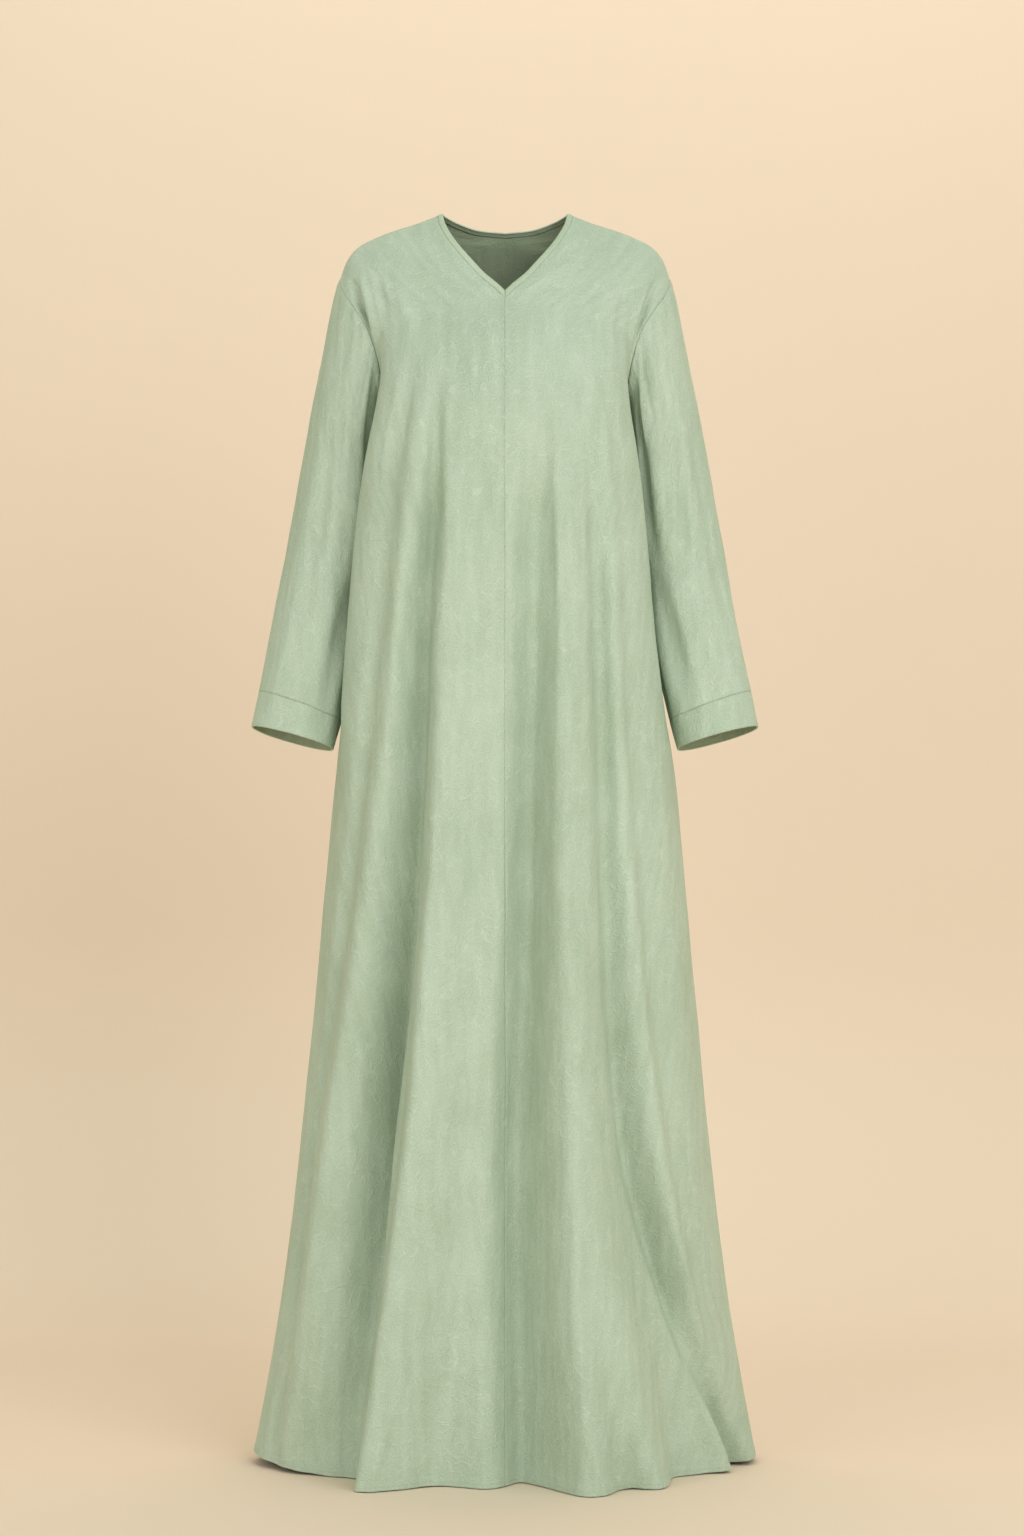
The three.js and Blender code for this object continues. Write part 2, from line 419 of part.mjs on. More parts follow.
// draws each sheet back from its seams, moves it in by its wall and closes the rim
function wallOf(s, shared) {
  const edges = boundary(s.tris), n = s.points.length, onEdge = new Set(edges.flat());
  const inward = s.points.map(() => V(0, 0, 0));
  for (const [a, b] of edges) {
    const along = s.points[b].clone().sub(s.points[a]).normalize();
    const face = s.normals[a].clone().add(s.normals[b]).normalize();
    const into = face.cross(along).normalize();
    for (const i of [a, b]) if (inward[i].dot(into) < 0.99) inward[i].add(into);
  }
  const positions = [];
  const outer = s.points.map((p, i) => p.clone()), inner = [];
  for (let i = 0; i < n; i += 1) {
    const seam = shared.get(keyOf(s.points[i]));
    const isSeam = onEdge.has(i) && seam && seam.users > 1;
    if (isSeam) {
      const into = inward[i].clone();
      const limit = into.length() > 1.2 ? 1.2 : 1;
      outer[i].addScaledVector(into.normalize(), SEAM_GAP * limit);
    }
    const face = isSeam ? seam.normal.clone().normalize() : s.normals[i].clone();
    const stretch = 1 / Math.max(0.6, face.dot(s.normals[i]));
    if (!isSeam) outer[i].addScaledVector(s.normals[i], s.proud);
    inner.push(outer[i].clone().addScaledVector(face, -s.wall * stretch));
  }
  for (const p of [...outer, ...inner]) positions.push(p.x, p.y, p.z);
  const faces = [];
  for (const [a, b, c] of s.tris) faces.push(a, b, c, a + n, c + n, b + n);
  const all = [...outer, ...inner];
  for (const [a, b] of edges) {
    if (all[b].distanceTo(all[a + n]) <= all[a].distanceTo(all[b + n])) faces.push(b, a, a + n, b, a + n, b + n);
    else faces.push(b, a, b + n, a, a + n, b + n);
  }
  const geometry = new THREE.BufferGeometry();
  geometry.setAttribute('position', new THREE.Float32BufferAttribute(positions, 3));
  geometry.setIndex(faces);
  geometry.computeVertexNormals();
  return geometry;
}

const grid = { fl: halfBody(1, true), fr: halfBody(-1, true), bl: halfBody(1, false), br: halfBody(-1, false) };
const binding = bindingRows();
const sheets = [
  sheet('front_left', [{ rows: grid.fl }]),
  sheet('front_right', [{ rows: grid.fr, flip: true }]),
  sheet('back', [{ rows: grid.bl, flip: true }, { rows: grid.br }]),
  sheet('sleeve_left', [{ rows: sleeveGrid(1, 0, CUFF_HEM_FROM, SLEEVE_ROWS), around: true, flip: true }]),
  sheet('sleeve_right', [{ rows: sleeveGrid(-1, 0, CUFF_HEM_FROM, SLEEVE_ROWS), around: true }]),
  sheet('cuff_hem_left', [{ rows: sleeveGrid(1, CUFF_HEM_FROM, 1, CUFF_ROWS), around: true, flip: true }], { wall: HEM_WALL }),
  sheet('cuff_hem_right', [{ rows: sleeveGrid(-1, CUFF_HEM_FROM, 1, CUFF_ROWS), around: true }], { wall: HEM_WALL }),
];
// the two ends of the binding meet at the mitre, so they are kept apart there
const last = binding[binding.length - 1];
last.forEach((p) => { p.side = -1; });
sheets.push(sheet('neck_binding', [{ rows: binding }], { wall: BINDING_WALL, proud: BINDING_PROUD, mitre: true }));

// points that panels share, and the way the cloth faces at each
const shared = new Map();
for (const s of sheets) {
  s.points.forEach((p, i) => {
    const key = keyOf(p);
    if (!shared.has(key)) shared.set(key, { groups: {}, users: 0 });
    const entry = shared.get(key), group = s.name.split('_')[0].replace(/front|back/, 'body');
    entry.groups[group] = (entry.groups[group] || V(0, 0, 0)).add(s.normals[i]);
    entry.users += 1;
  });
}
for (const entry of shared.values()) {
  entry.normal = V(0, 0, 0);
  for (const normal of Object.values(entry.groups)) entry.normal.add(normal.normalize());
}

const COLOURS = {
  front_left: 0xb9c3a2, front_right: 0xb9c3a2, back: 0xb5bf9e, sleeve_left: 0xb6c09f,
  sleeve_right: 0xb6c09f, cuff_hem_left: 0xb0ba98, cuff_hem_right: 0xb0ba98, neck_binding: 0xaeb996,
};
const dress = new THREE.Group();
for (const s of sheets) {
  const material = new THREE.MeshStandardMaterial({ color: COLOURS[s.name], roughness: 0.78, metalness: 0 });
  const mesh = new THREE.Mesh(wallOf(s, shared), material);
  mesh.name = s.name;
  dress.add(mesh);
}

export default dress;
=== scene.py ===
import math
import bpy
import numpy as np
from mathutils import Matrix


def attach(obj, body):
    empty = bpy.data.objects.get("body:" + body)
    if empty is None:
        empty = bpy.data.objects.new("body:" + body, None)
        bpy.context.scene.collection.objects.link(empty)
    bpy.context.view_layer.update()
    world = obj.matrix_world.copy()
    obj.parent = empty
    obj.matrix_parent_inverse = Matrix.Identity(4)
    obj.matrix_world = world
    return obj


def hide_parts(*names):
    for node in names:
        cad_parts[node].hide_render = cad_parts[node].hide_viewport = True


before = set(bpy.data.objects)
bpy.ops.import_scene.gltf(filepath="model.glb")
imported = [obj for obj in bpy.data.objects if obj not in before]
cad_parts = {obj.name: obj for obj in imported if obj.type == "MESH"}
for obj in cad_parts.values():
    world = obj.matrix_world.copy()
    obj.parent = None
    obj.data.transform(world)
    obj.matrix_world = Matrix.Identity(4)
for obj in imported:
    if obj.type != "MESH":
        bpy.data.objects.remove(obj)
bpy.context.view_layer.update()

# Full-length prayer dress, worn. The tables below are the garment's own, in millimetres, +Z up, the
# front facing -Y. Every panel is a thin shell, finer than its solid and on the same form.

# ---------------------------------------------------------------- driving sizes
LENGTH = 1524.0
CLOTH = 0.9                  # shell thickness of one layer
HEM_CLOTH = 1.7              # turned-up cuff hem
BINDING_CLOTH = 2.0
SEAM_GAP = 0.06
UNDERARM_Z = -236.0
CUFF_HEM_FROM = 0.905
CUFF_TILT = 6.0
CHEST_EASE = -12.0
BACK_EASE = -4.0
BINDING_WIDTH = 7.0
BOTTOM_HEM = 10.0            # width of the narrow bottom hem

MID_COLS, YOKE_ROWS = 104, 84
EDGE_SHARES = (0.0, 0.0035, 0.0075, 0.0130)      # finer columns beside the seams
NECK_ROWS_FRONT, NECK_ROWS_BACK = 48, 32
SLEEVE_ROWS, CUFF_ROWS = 190, 26
HEM_LIFT_FROM = -1380.0
HEM_LIFT = np.array([(-307, 13), (-284, 8), (-245, 3), (-205, 0), (215, 0), (292, 4), (307, 6)], float)
BUST_ROUND_UP, BUST_ROUND_DOWN = 26, 22

NECK = [  # x, y, z of the opening edge, and the way the cloth faces
    (0, -78, -102, 0, -0.9, 0.43), (8, -74, -94, 0.02, -0.9, 0.43), (25, -65, -79, 0.04, -0.87, 0.48),
    (39, -56, -63, 0.06, -0.83, 0.55), (52.5, -46, -47, 0.1, -0.75, 0.65), (63.5, -35, -31.5, 0.18, -0.62, 0.76),
    (72.5, -19, -14, 0.28, -0.36, 0.89), (76, 0, 0, 0.33, 0, 0.94), (73, 24, 0, 0.3, 0.32, 0.9),
    (59, 45, -5, 0.2, 0.58, 0.79), (34, 60, -12, 0.08, 0.7, 0.71), (0, 65, -15, 0, 0.72, 0.69)]
NECK_POINT_ROW = 7
SHOULDER = [(108, 2, -12), (131, 3, -19), (153, 4, -27), (180, 5, -41), (193, 6, -57), (200, 6, -76)]
ARMHOLE_FRONT = [(200, 6, -76), (200, -15, -88), (193, -33, -104), (181, -45, -121), (165, -53, -147),
                 (154, -54, -181), (148, -41, -211), (140, 12, -236)]
ARMHOLE_BACK = [(200, 6, -76), (198, 30, -90), (188, 54, -118), (173, 70, -150), (160, 74, -186),
                (150, 56, -220), (140, 12, -236)]
CENTRE_FRONT = [(0, -107, -150), (0, -126, -190)]
CENTRE_BACK = [(0, 85, -48), (0, 98, -92), (0, 106, -145), (0, 108, -195)]

SECTION_COLUMNS = ("z", "front", "edgeX", "edgeY", "sideX", "sideY", "bladeX", "bladeY", "back", "nF", "nB", "shift")
SECTIONS = np.array([
    (-236, -138, 150, -66, 140, 12, 147, 62, 108, 2.3, 2.4, 2),
    (-300, -143, 164, -62, 137, 18, 149, 80, 113, 2.2, 2.4, 4),
    (-400, -146, 176, -56, 146, 22, 157, 88, 119, 2.1, 2.3, 5),
    (-500, -148, 185, -53, 162, 24, 170, 90, 124, 2.0, 2.2, 5),
    (-592, -150, 194, -50, 184, 24, 184, 86, 129, 2.0, 2.1, 3),
    (-660, -151, 200, -42, 203, 23, 196, 80, 133, 2.0, 2.1, 0),
    (-835, -154, 214, -36, 221, 22, 212, 80, 143, 1.9, 2.0, -1),
    (-1000, -157, 227, -33, 236, 23, 226, 84, 153, 1.8, 1.95, -1),
    (-1200, -160, 247, -30, 257, 24, 247, 90, 166, 1.65, 1.85, 0),
    (-1323, -165, 262, -26, 273, 25, 262, 92, 176, 1.6, 1.8, 1),
    (-1420, -168, 274, -22, 289, 27, 274, 92, 186, 1.46, 1.75, 2),
    (-LENGTH, -166, 290, -14, 307, 32, 290, 94, 200, 1.3, 1.7, 3)], float)

FOLD_LEVELS = (-400.0, -800.0, -1150.0, -LENGTH)
FOLD_START = -285.0
FOLD_NARROW = 0.62
# x at the four levels, depth at the four levels, width towards the centre and towards the side,
# and how sharp its crest or bottom is (1 = a plain wave)
FRONT_FOLDS = [
    (-67, -79, -102, -142, 10, 29, 53, 76, 84, 34, 1.0),
    (-93, -115, -152, -190, -20, -38, -56, -6, 28, 48, 1.0),
    (-114, -157, -206, -262, 8, 14, 21, 3, 40, 40, 1.0),
    (-142, -186, -236, -282, -3, -6, -7, -4, 26, 24, 1.0),
    (38, 31, 18, 30, -19, -33, -45, -42, 58, 38, 1.0),
    (65, 67, 70, 75, 9, 30, 54, 79, 44, 100, 1.0),
    (100, 104, 112, 155, 1, 2, 5, 58, 50, 60, 1.0),
    (108, 120, 153, 282, -7, -15, -24, -28, 30, 32, 1.0),
    (128, 146, 184, 262, 4, 9, 15, 14, 28, 28, 1.0),
]
BACK_FOLDS = [
    (-150, -172, -206, -238, 3, 7, 12, 16, 50, 46, 1.0),
    (-104, -122, -150, -176, -6, -13, -20, -26, 44, 40, 1.0),
    (-58, -66, -84, -98, 4, 10, 17, 26, 54, 46, 1.0),
    (-8, -14, -22, -26, -6, -12, -19, -24, 52, 48, 1.0),
    (44, 50, 56, 62, 4, 11, 19, 30, 50, 54, 1.0),
    (96, 110, 132, 152, -6, -14, -22, -28, 42, 46, 1.0),
    (142, 164, 196, 222, 3, 8, 12, 17, 44, 48, 1.0),
]
RING_COLUMNS = ("at", "xo", "zo", "xi", "zi", "y", "depth", "n")
RINGS = np.array([
    (0, 200, -76, 140, -236, 12, 64, 2), (0.05, 207, -98, 147, -249, 13, 65, 2),
    (0.15, 219, -155, 150.5, -288, 14, 64, 2), (0.3, 234.5, -231, 153, -345, 15, 61, 2),
    (0.45, 251, -320, 158, -411, 15, 57, 2), (0.6, 267, -408, 168.5, -478, 11, 54, 2.05),
    (0.75, 282, -492, 182.5, -545, 4, 52, 2.1), (0.88, 297, -570, 197, -607, -4, 51, 2.1),
    (1, 307.5, -626, 209, -653, -11, 51, 2.1)], float)
SLEEVE_FOLDS = [  # turn, turn at its end, from, to, depth, width
    (128, 112, 0.02, 0.4, -6, 26), (70, 84, 0.12, 0.62, -3.5, 30), (262, 280, 0.04, 0.5, -6, 32),
    (150, 120, 0.45, 0.86, -4, 26), (230, 300, 0.5, 0.9, -4.5, 30),
]


# ---------------------------------------------------------------- helpers
def ease(t):
    c = np.clip(t, 0, 1)
    return c * c * (3 - 2 * c)


def hump(t):
    return np.where(np.abs(t) < 1, 0.5 + 0.5 * np.cos(np.pi * np.clip(t, -1, 1)), 0.0)


def hermite(xs, ys, at):
    """A smooth curve through a short table's rows, at one place or at many."""
    xs, ys, at = np.asarray(xs, float), np.asarray(ys, float), np.asarray(at, float)
    if xs[-1] < xs[0]:
        xs, ys = xs[::-1], ys[::-1]
    n = len(xs)
    lo, hi = np.maximum(np.arange(n) - 1, 0), np.minimum(np.arange(n) + 1, n - 1)
    m = (ys[hi] - ys[lo]) / (xs[hi] - xs[lo])
    i = np.clip(np.searchsorted(xs, at, side="right") - 1, 0, n - 2)
    h = xs[i + 1] - xs[i]
    t = np.clip((at - xs[i]) / h, 0, 1)
    t2, t3 = t * t, t * t * t
    return (2 * t3 - 3 * t2 + 1) * ys[i] + (t3 - 2 * t2 + t) * h * m[i] + (3 * t2 - 2 * t3) * ys[i + 1] + (t3 - t2) * h * m[i + 1]


def smooth_line(points, closed=False, per=10):
    p = np.asarray(points, float)
    n, out, marks = len(p), [], []
    for i in range(n if closed else n - 1):
        j0 = (i - 1) % n if closed else max(0, i - 1)
        j2 = (i + 1) % n if closed else i + 1
        j3 = (i + 2) % n if closed else min(n - 1, i + 2)
        p0, p1, p2, p3 = p[j0], p[i], p[j2], p[j3]
        k1 = math.sqrt(np.linalg.norm(p1 - p0)) or 1e-6
        k2 = math.sqrt(np.linalg.norm(p2 - p1)) or 1e-6
        k3 = math.sqrt(np.linalg.norm(p3 - p2)) or 1e-6
        m1 = (p2 - p1) if j0 == i else ((p1 - p0) / k1 - (p2 - p0) / (k1 + k2) + (p2 - p1) / k2) * k2
        m2 = (p2 - p1) if j3 == j2 else ((p2 - p1) / k2 - (p3 - p1) / (k2 + k3) + (p3 - p2) / k3) * k2
        marks.append(len(out))
        for s in range(per):
            t = s / per
            out.append(p1 * (2 * t**3 - 3 * t * t + 1) + m1 * (t**3 - 2 * t * t + t) + p2 * (3 * t * t - 2 * t**3) + m2 * (t**3 - t * t))
    if not closed:
        marks.append(len(out))
        out.append(p[-1])
    return np.array(out), marks


def arc(line):
    return np.concatenate([[0], np.cumsum(np.linalg.norm(np.diff(line, axis=0), axis=1))])


def evenly(line, count):
    line = np.asarray(line, float)
    a = arc(line)
    want = np.linspace(0, a[-1], count + 1)
    return np.stack([np.interp(want, a, line[:, k]) for k in range(3)], 1)


def at_shares(line, shares):
    a = arc(line)
    want = np.asarray(shares) * a[-1]
    return np.stack([np.interp(want, a, line[:, k]) for k in range(3)], 1)


def unit(v):
    return v / (np.linalg.norm(v, axis=-1, keepdims=True) + 1e-12)


def mirrored(p, side):
    return np.asarray(p) * np.array([side, 1, 1])


# ---------------------------------------------------------------- neck
NECK_IN = np.array([r[:3] for r in NECK], float)
NECK_FACE = unit(np.array([r[3:] for r in NECK], float))


def neck_seam(i):
    face = NECK_FACE[i]
    if i == 0:
        side = unit(NECK_IN[1] - NECK_IN[0])
        half = math.acos(min(1, float(np.dot([0, face[2], -face[1]], side))))
        return NECK_IN[0] + np.array([0, -face[2], face[1]]) * min(BINDING_WIDTH / math.sin(half), 1.7 * BINDING_WIDTH)
    if i == len(NECK) - 1:
        tangent = np.array([-1.0, 0, 0])
    else:
        tangent = unit(NECK_IN[i + 1] - NECK_IN[i - 1])
    return NECK_IN[i] + unit(np.cross(tangent, face)) * BINDING_WIDTH


NECK_OUT = np.array([neck_seam(i) for i in range(len(NECK))])
NP_ = NECK_POINT_ROW
neck = {
    "frontOut": evenly(smooth_line(NECK_OUT[:NP_ + 1])[0], NECK_ROWS_FRONT)[::-1],
    "frontIn": evenly(smooth_line(NECK_IN[:NP_ + 1])[0], NECK_ROWS_FRONT)[::-1],
    "backOut": evenly(smooth_line(NECK_OUT[NP_:])[0], NECK_ROWS_BACK),
    "backIn": evenly(smooth_line(NECK_IN[NP_:])[0], NECK_ROWS_BACK),
}


# ---------------------------------------------------------------- body sections and folds
def section(z):
    s = {name: (z if name == "z" else float(hermite(SECTIONS[:, 0], SECTIONS[:, k], z)))
         for k, name in enumerate(SECTION_COLUMNS)}

    def quarter(ex, ey, centre, n):
        a = np.radians([0, 22.5, 45, 67.5, 90])
        return [(ex * abs(math.sin(t)) ** (2 / n), ey + (centre - ey) * abs(math.cos(t)) ** (2 / n), z) for t in a]

    half = quarter(s["edgeX"], s["edgeY"], s["front"], s["nF"]) + [(s["sideX"], s["sideY"], z)] + \
        quarter(s["bladeX"], s["bladeY"], s["back"], s["nB"])[::-1]
    ring = half + [(-x, y, w) for x, y, w in half[1:-1][::-1]]
    line, marks = smooth_line(ring, True, 24)
    line[:, 0] -= s["shift"] * np.abs(line[:, 0]) / s["edgeX"] * np.clip(line[:, 1] / s["edgeY"], 0, 1)
    left, right = marks[5], marks[15]
    front = np.concatenate([line[right:], line[:left + 1]])
    back = line[left:right + 1]
    return front, back, len(line) - right, marks[10] - left


def fold_value(fold, first, z):
    v = fold[first:first + 4]
    if z > FOLD_LEVELS[0]:
        if first == 0:
            return v[0] + (v[1] - v[0]) / (FOLD_LEVELS[1] - FOLD_LEVELS[0]) * (z - FOLD_LEVELS[0])
        return v[0] * float(ease((FOLD_START - z) / (FOLD_START - FOLD_LEVELS[0])))
    return float(hermite(FOLD_LEVELS, v, z))


def folded(line, middle, folds, z):
    if z > FOLD_START:
        return line
    a = arc(line)
    total = a[-1]
    wide = 1 + (FOLD_NARROW - 1) * min(1, max(0, (z + LENGTH) / (FOLD_LEVELS[0] + LENGTH)))
    push = np.zeros(len(line))
    run = np.sign(line[-1, 0] - line[0, 0])
    for f in folds:
        x, depth = fold_value(f, 0, z), fold_value(f, 4, z)
        same = np.sign(line[:, 0] - line[middle, 0]) == np.sign(x)
        widest = int(np.argmax(line[:, 0] * np.sign(x)))
        lo_, hi_ = min(middle, widest), max(middle, widest)
        same[:lo_] = False
        same[hi_ + 1:] = False
        gap = np.where(same, np.abs(line[:, 0] - x), 1e9)
        best = int(np.argmin(gap))
        # the exact place, between two points of the line
        j = min(len(line) - 2, max(1, best))
        dx = (line[j + 1, 0] - line[j - 1, 0]) / (a[j + 1] - a[j - 1])
        at = a[best] + (np.clip((x - line[best, 0]) / dx, -3, 3) if abs(dx) > 0.15 else 0)
        away = (a - at) * np.sign(x) * run
        t = away / (np.where(away > 0, f[9], f[8]) * wide)
        push += depth * hump(t) ** f[10]
    push *= ease(np.minimum(a, total - a) / 45)
    prev, nxt = np.roll(line, 1, 0), np.roll(line, -1, 0)
    prev[0], nxt[-1] = line[0], line[-1]
    out = unit(np.stack([nxt[:, 1] - prev[:, 1], prev[:, 0] - nxt[:, 0], np.zeros(len(line))], 1))
    return line + out * push[:, None]


ARM_FRONT = evenly(smooth_line(ARMHOLE_FRONT)[0], YOKE_ROWS)
ARM_BACK = evenly(smooth_line(ARMHOLE_BACK)[0], YOKE_ROWS)
SHOULDER_LINE = smooth_line([NECK_OUT[NP_]] + SHOULDER)[0]
_mid = np.linspace(EDGE_SHARES[-1], 1 - EDGE_SHARES[-1], MID_COLS)
SHARES = np.concatenate([EDGE_SHARES[:-1], _mid, 1 - np.array(EDGE_SHARES[:-1])[::-1]])
HALF_COLS = len(SHARES) - 1
ROW_Z = np.concatenate([np.arange(UNDERARM_Z, -LENGTH + 24, -5.0), -LENGTH + np.array([23, 20, 17, 14, 12, 11, 10.2, 9.4, 8.4, 7, 5.5, 4, 2.6, 1.6, 0.8, 0.3, 0])])
SKIRT_ROWS = len(ROW_Z) - 1
_levels = [section(z) for z in ROW_Z]


def half_body(side, is_front):
    skirt = []
    for z, (front, back, fm, bm) in zip(ROW_Z, _levels):
        line = folded(front, fm, FRONT_FOLDS, z) if is_front else folded(back, bm, BACK_FOLDS, z)
        mid = fm if is_front else bm
        line = line.copy()
        line[:, 2] += np.maximum(0, hermite(HEM_LIFT[:, 0], HEM_LIFT[:, 1], line[:, 0])) * float(ease((HEM_LIFT_FROM - z) / (HEM_LIFT_FROM + LENGTH)))
        to_left = line[-1, 0] > 0
        part = line[mid:] if (side > 0) == to_left else line[:mid + 1][::-1]
        skirt.append(at_shares(part, SHARES))
    skirt = np.array(skirt)
    skirt[0, -1] = mirrored(ARM_FRONT[-1], side)
    n_neck = NECK_ROWS_FRONT if is_front else NECK_ROWS_BACK
    seam = neck["frontOut"] if is_front else neck["backOut"]
    centre = [seam[n_neck]] + (CENTRE_FRONT if is_front else CENTRE_BACK) + [skirt[0, 0]]
    inner = mirrored(np.concatenate([seam, evenly(smooth_line(centre)[0], YOKE_ROWS - n_neck)[1:]]), side)
    outer = mirrored(ARM_FRONT if is_front else ARM_BACK, side)
    top = mirrored(at_shares(SHOULDER_LINE, SHARES), side)
    bottom = skirt[0]
    v = (np.arange(YOKE_ROWS) / YOKE_ROWS)[:, None, None]
    u = SHARES[None, :, None]
    corners = top[0] * (1 - u) * (1 - v) + top[-1] * u * (1 - v) + bottom[0] * (1 - u) * v + bottom[-1] * u * v
    p = top[None] * (1 - v) + bottom[None] * v + inner[:YOKE_ROWS, None] * (1 - u) + outer[:YOKE_ROWS, None] * u - corners
    p[..., 1] += (-CHEST_EASE if is_front else BACK_EASE) * (np.sin(np.pi * u) * np.sin(np.pi * v))[..., 0]
    rows = np.concatenate([p, skirt])
    a, b = YOKE_ROWS - BUST_ROUND_UP, YOKE_ROWS + BUST_ROUND_DOWN
    pa, pb = rows[a].copy(), rows[b].copy()
    size = np.linalg.norm(pb - pa, axis=1)[:, None]
    m1 = unit(pa - rows[a - 2]) * size
    m2 = unit(rows[b + 2] - pb) * size
    keep = (SHARES ** 6)[:, None]
    for j in range(a + 1, b):
        da, db = np.linalg.norm(rows[j] - pa, axis=1), np.linalg.norm(rows[j] - pb, axis=1)
        t = (da / (da + db))[:, None]
        r = pa * (2 * t**3 - 3 * t * t + 1) + m1 * (t**3 - 2 * t * t + t) + pb * (3 * t * t - 2 * t**3) + m2 * (t**3 - t * t)
        r[0, 0] = 0
        rows[j] = r * (1 - keep) + rows[j] * keep
    return rows


# ---------------------------------------------------------------- the smaller folds
# each crease of the front: rows of z, x, depth (out +, in -), width towards -x, width towards +x
CREASES = [
    [(-205, -87, 0, 8, 10), (-232, -85, -1.2, 8, 11), (-275, -82, -3.2, 9, 12), (-335, -81, -5.0, 10, 12), (-400, -80, -4.0, 12, 14), (-480, -84, 0, 14, 14)],
    [(-215, -94, 0, 14, 10), (-262, -99, 2.2, 16, 12), (-340, -104, 4.2, 20, 13), (-430, -112, 3.0, 22, 18), (-520, -122, 0, 24, 20)],
    [(-235, -136, 0, 14, 14), (-300, -140, -2.0, 16, 16), (-400, -147, -3.0, 18, 20), (-560, -160, 0, 20, 20)],
    [(-195, -60, 0, 12, 16), (-260, -66, 1.6, 12, 20), (-360, -68, 2.4, 11, 24), (-480, -72, 0, 12, 26)],
    [(-225, 44, 0, 10, 10), (-280, 47, -1.6, 12, 9), (-380, 51, -3.2, 14, 10), (-520, 54, -3.0, 16, 12), (-640, 52, 0, 18, 14)],
    [(-240, 70, 0, 12, 12), (-320, 74, 1.8, 10, 14), (-470, 80, 2.8, 11, 15), (-640, 80, 2.0, 12, 16), (-740, 80, 0, 12, 16)],
    [(-260, 98, 0, 9, 9), (-360, 103, -1.8, 10, 9), (-500, 112, -2.8, 12, 10), (-640, 116, -2.4, 12, 11), (-760, 124, 0, 14, 12)],
    [(-400, 128, 0, 9, 9), (-500, 130, 1.8, 10, 10), (-620, 134, 2.2, 10, 12), (-740, 140, 0, 12, 12)],
    # drag folds under the left and the right armhole, and towards the shoulder
    [(-78, -188, 0, 5, 5), (-92, -182, -4.5, 6, 5), (-118, -174, -9.5, 7, 6), (-150, -166, -10.5, 7, 7), (-185, -160, -6.0, 8, 8), (-225, -157, 0, 9, 9)],
    [(-72, -175, 0, 5, 5), (-90, -172, 3.2, 5, 6), (-116, -165, 5.0, 6, 6), (-146, -158, 4.2, 7, 7), (-185, -152, 0, 8, 8)],
    [(-70, -160, 0, 6, 6), (-88, -153, -3.0, 6, 7), (-116, -147, -3.6, 7, 8), (-150, -143, 0, 8, 9)],
    [(-62, -138, 0, 9, 9), (-84, -130, 2.0, 9, 10), (-120, -122, 2.2, 10, 12), (-170, -116, 0, 12, 14)],
    [(-82, 184, 0, 5, 5), (-98, 178, -4.0, 5, 5), (-124, 169, -7.0, 5, 6), (-150, 162, -5.5, 6, 7), (-185, 157, 0, 7, 8)],
    [(-84, 173, 0, 5, 5), (-104, 167, 3.0, 5, 5), (-132, 158, 3.6, 6, 6), (-168, 152, 0, 7, 7)],
    [(-78, 151, 0, 6, 6), (-100, 146, -2.6, 7, 6), (-138, 138, -3.0, 8, 7), (-178, 134, 0, 9, 8)],
    [(-66, 128, 0, 9, 9), (-92, 122, 2.0, 10, 10), (-130, 114, 2.0, 12, 11), (-175, 108, 0, 14, 12)],
    # soft dints in the wide middle of the skirt, and the little puckers by the hem
    [(-560, -30, 0, 22, 22), (-760, -34, -1.4, 26, 24), (-980, -46, -1.8, 30, 26), (-1240, -58, 0, 36, 30)],
    [(-700, 0, 0, 20, 20), (-900, -6, 1.2, 22, 22), (-1150, -14, 1.6, 26, 26), (-1400, -18, 0, 30, 30)],
    [(-1300, -62, 0, 18, 18), (-1400, -74, -1.8, 20, 22), (-1524, -88, -3.0, 24, 26)],
    [(-1260, -10, 0, 20, 20), (-1400, -16, 1.5, 22, 22), (-1524, -22, 2.6, 26, 26)],
    [(-1380, -128, 0, 10, 10), (-1450, -140, 2.4, 10, 8), (-1500, -152, 3.6, 9, 6), (-1524, -156, 2.0, 9, 6)],
    [(-1400, 92, 0, 8, 12), (-1462, 97, 3.0, 7, 12), (-1506, 112, 3.4, 8, 14), (-1524, 116, 1.5, 10, 14)],
    [(-1416, 262, 0, 8, 8), (-1446, 270, -3.0, 8, 8), (-1464, 276, -3.4, 7, 8), (-1486, 282, 0, 8, 8)],
    [(-1330, -216, 0, 14, 14), (-1420, -228, 2.2, 14, 14), (-1524, -246, 3.5, 16, 15)],
    [(-1380, 138, 0, 12, 10), (-1460, 146, -2.6, 12, 10), (-1524, 152, -4.0, 13, 11)],
    [(-1380, 166, 0, 12, 10), (-1460, 176, 2.4, 11, 10), (-1524, 184, 3.2, 12, 11)],
]
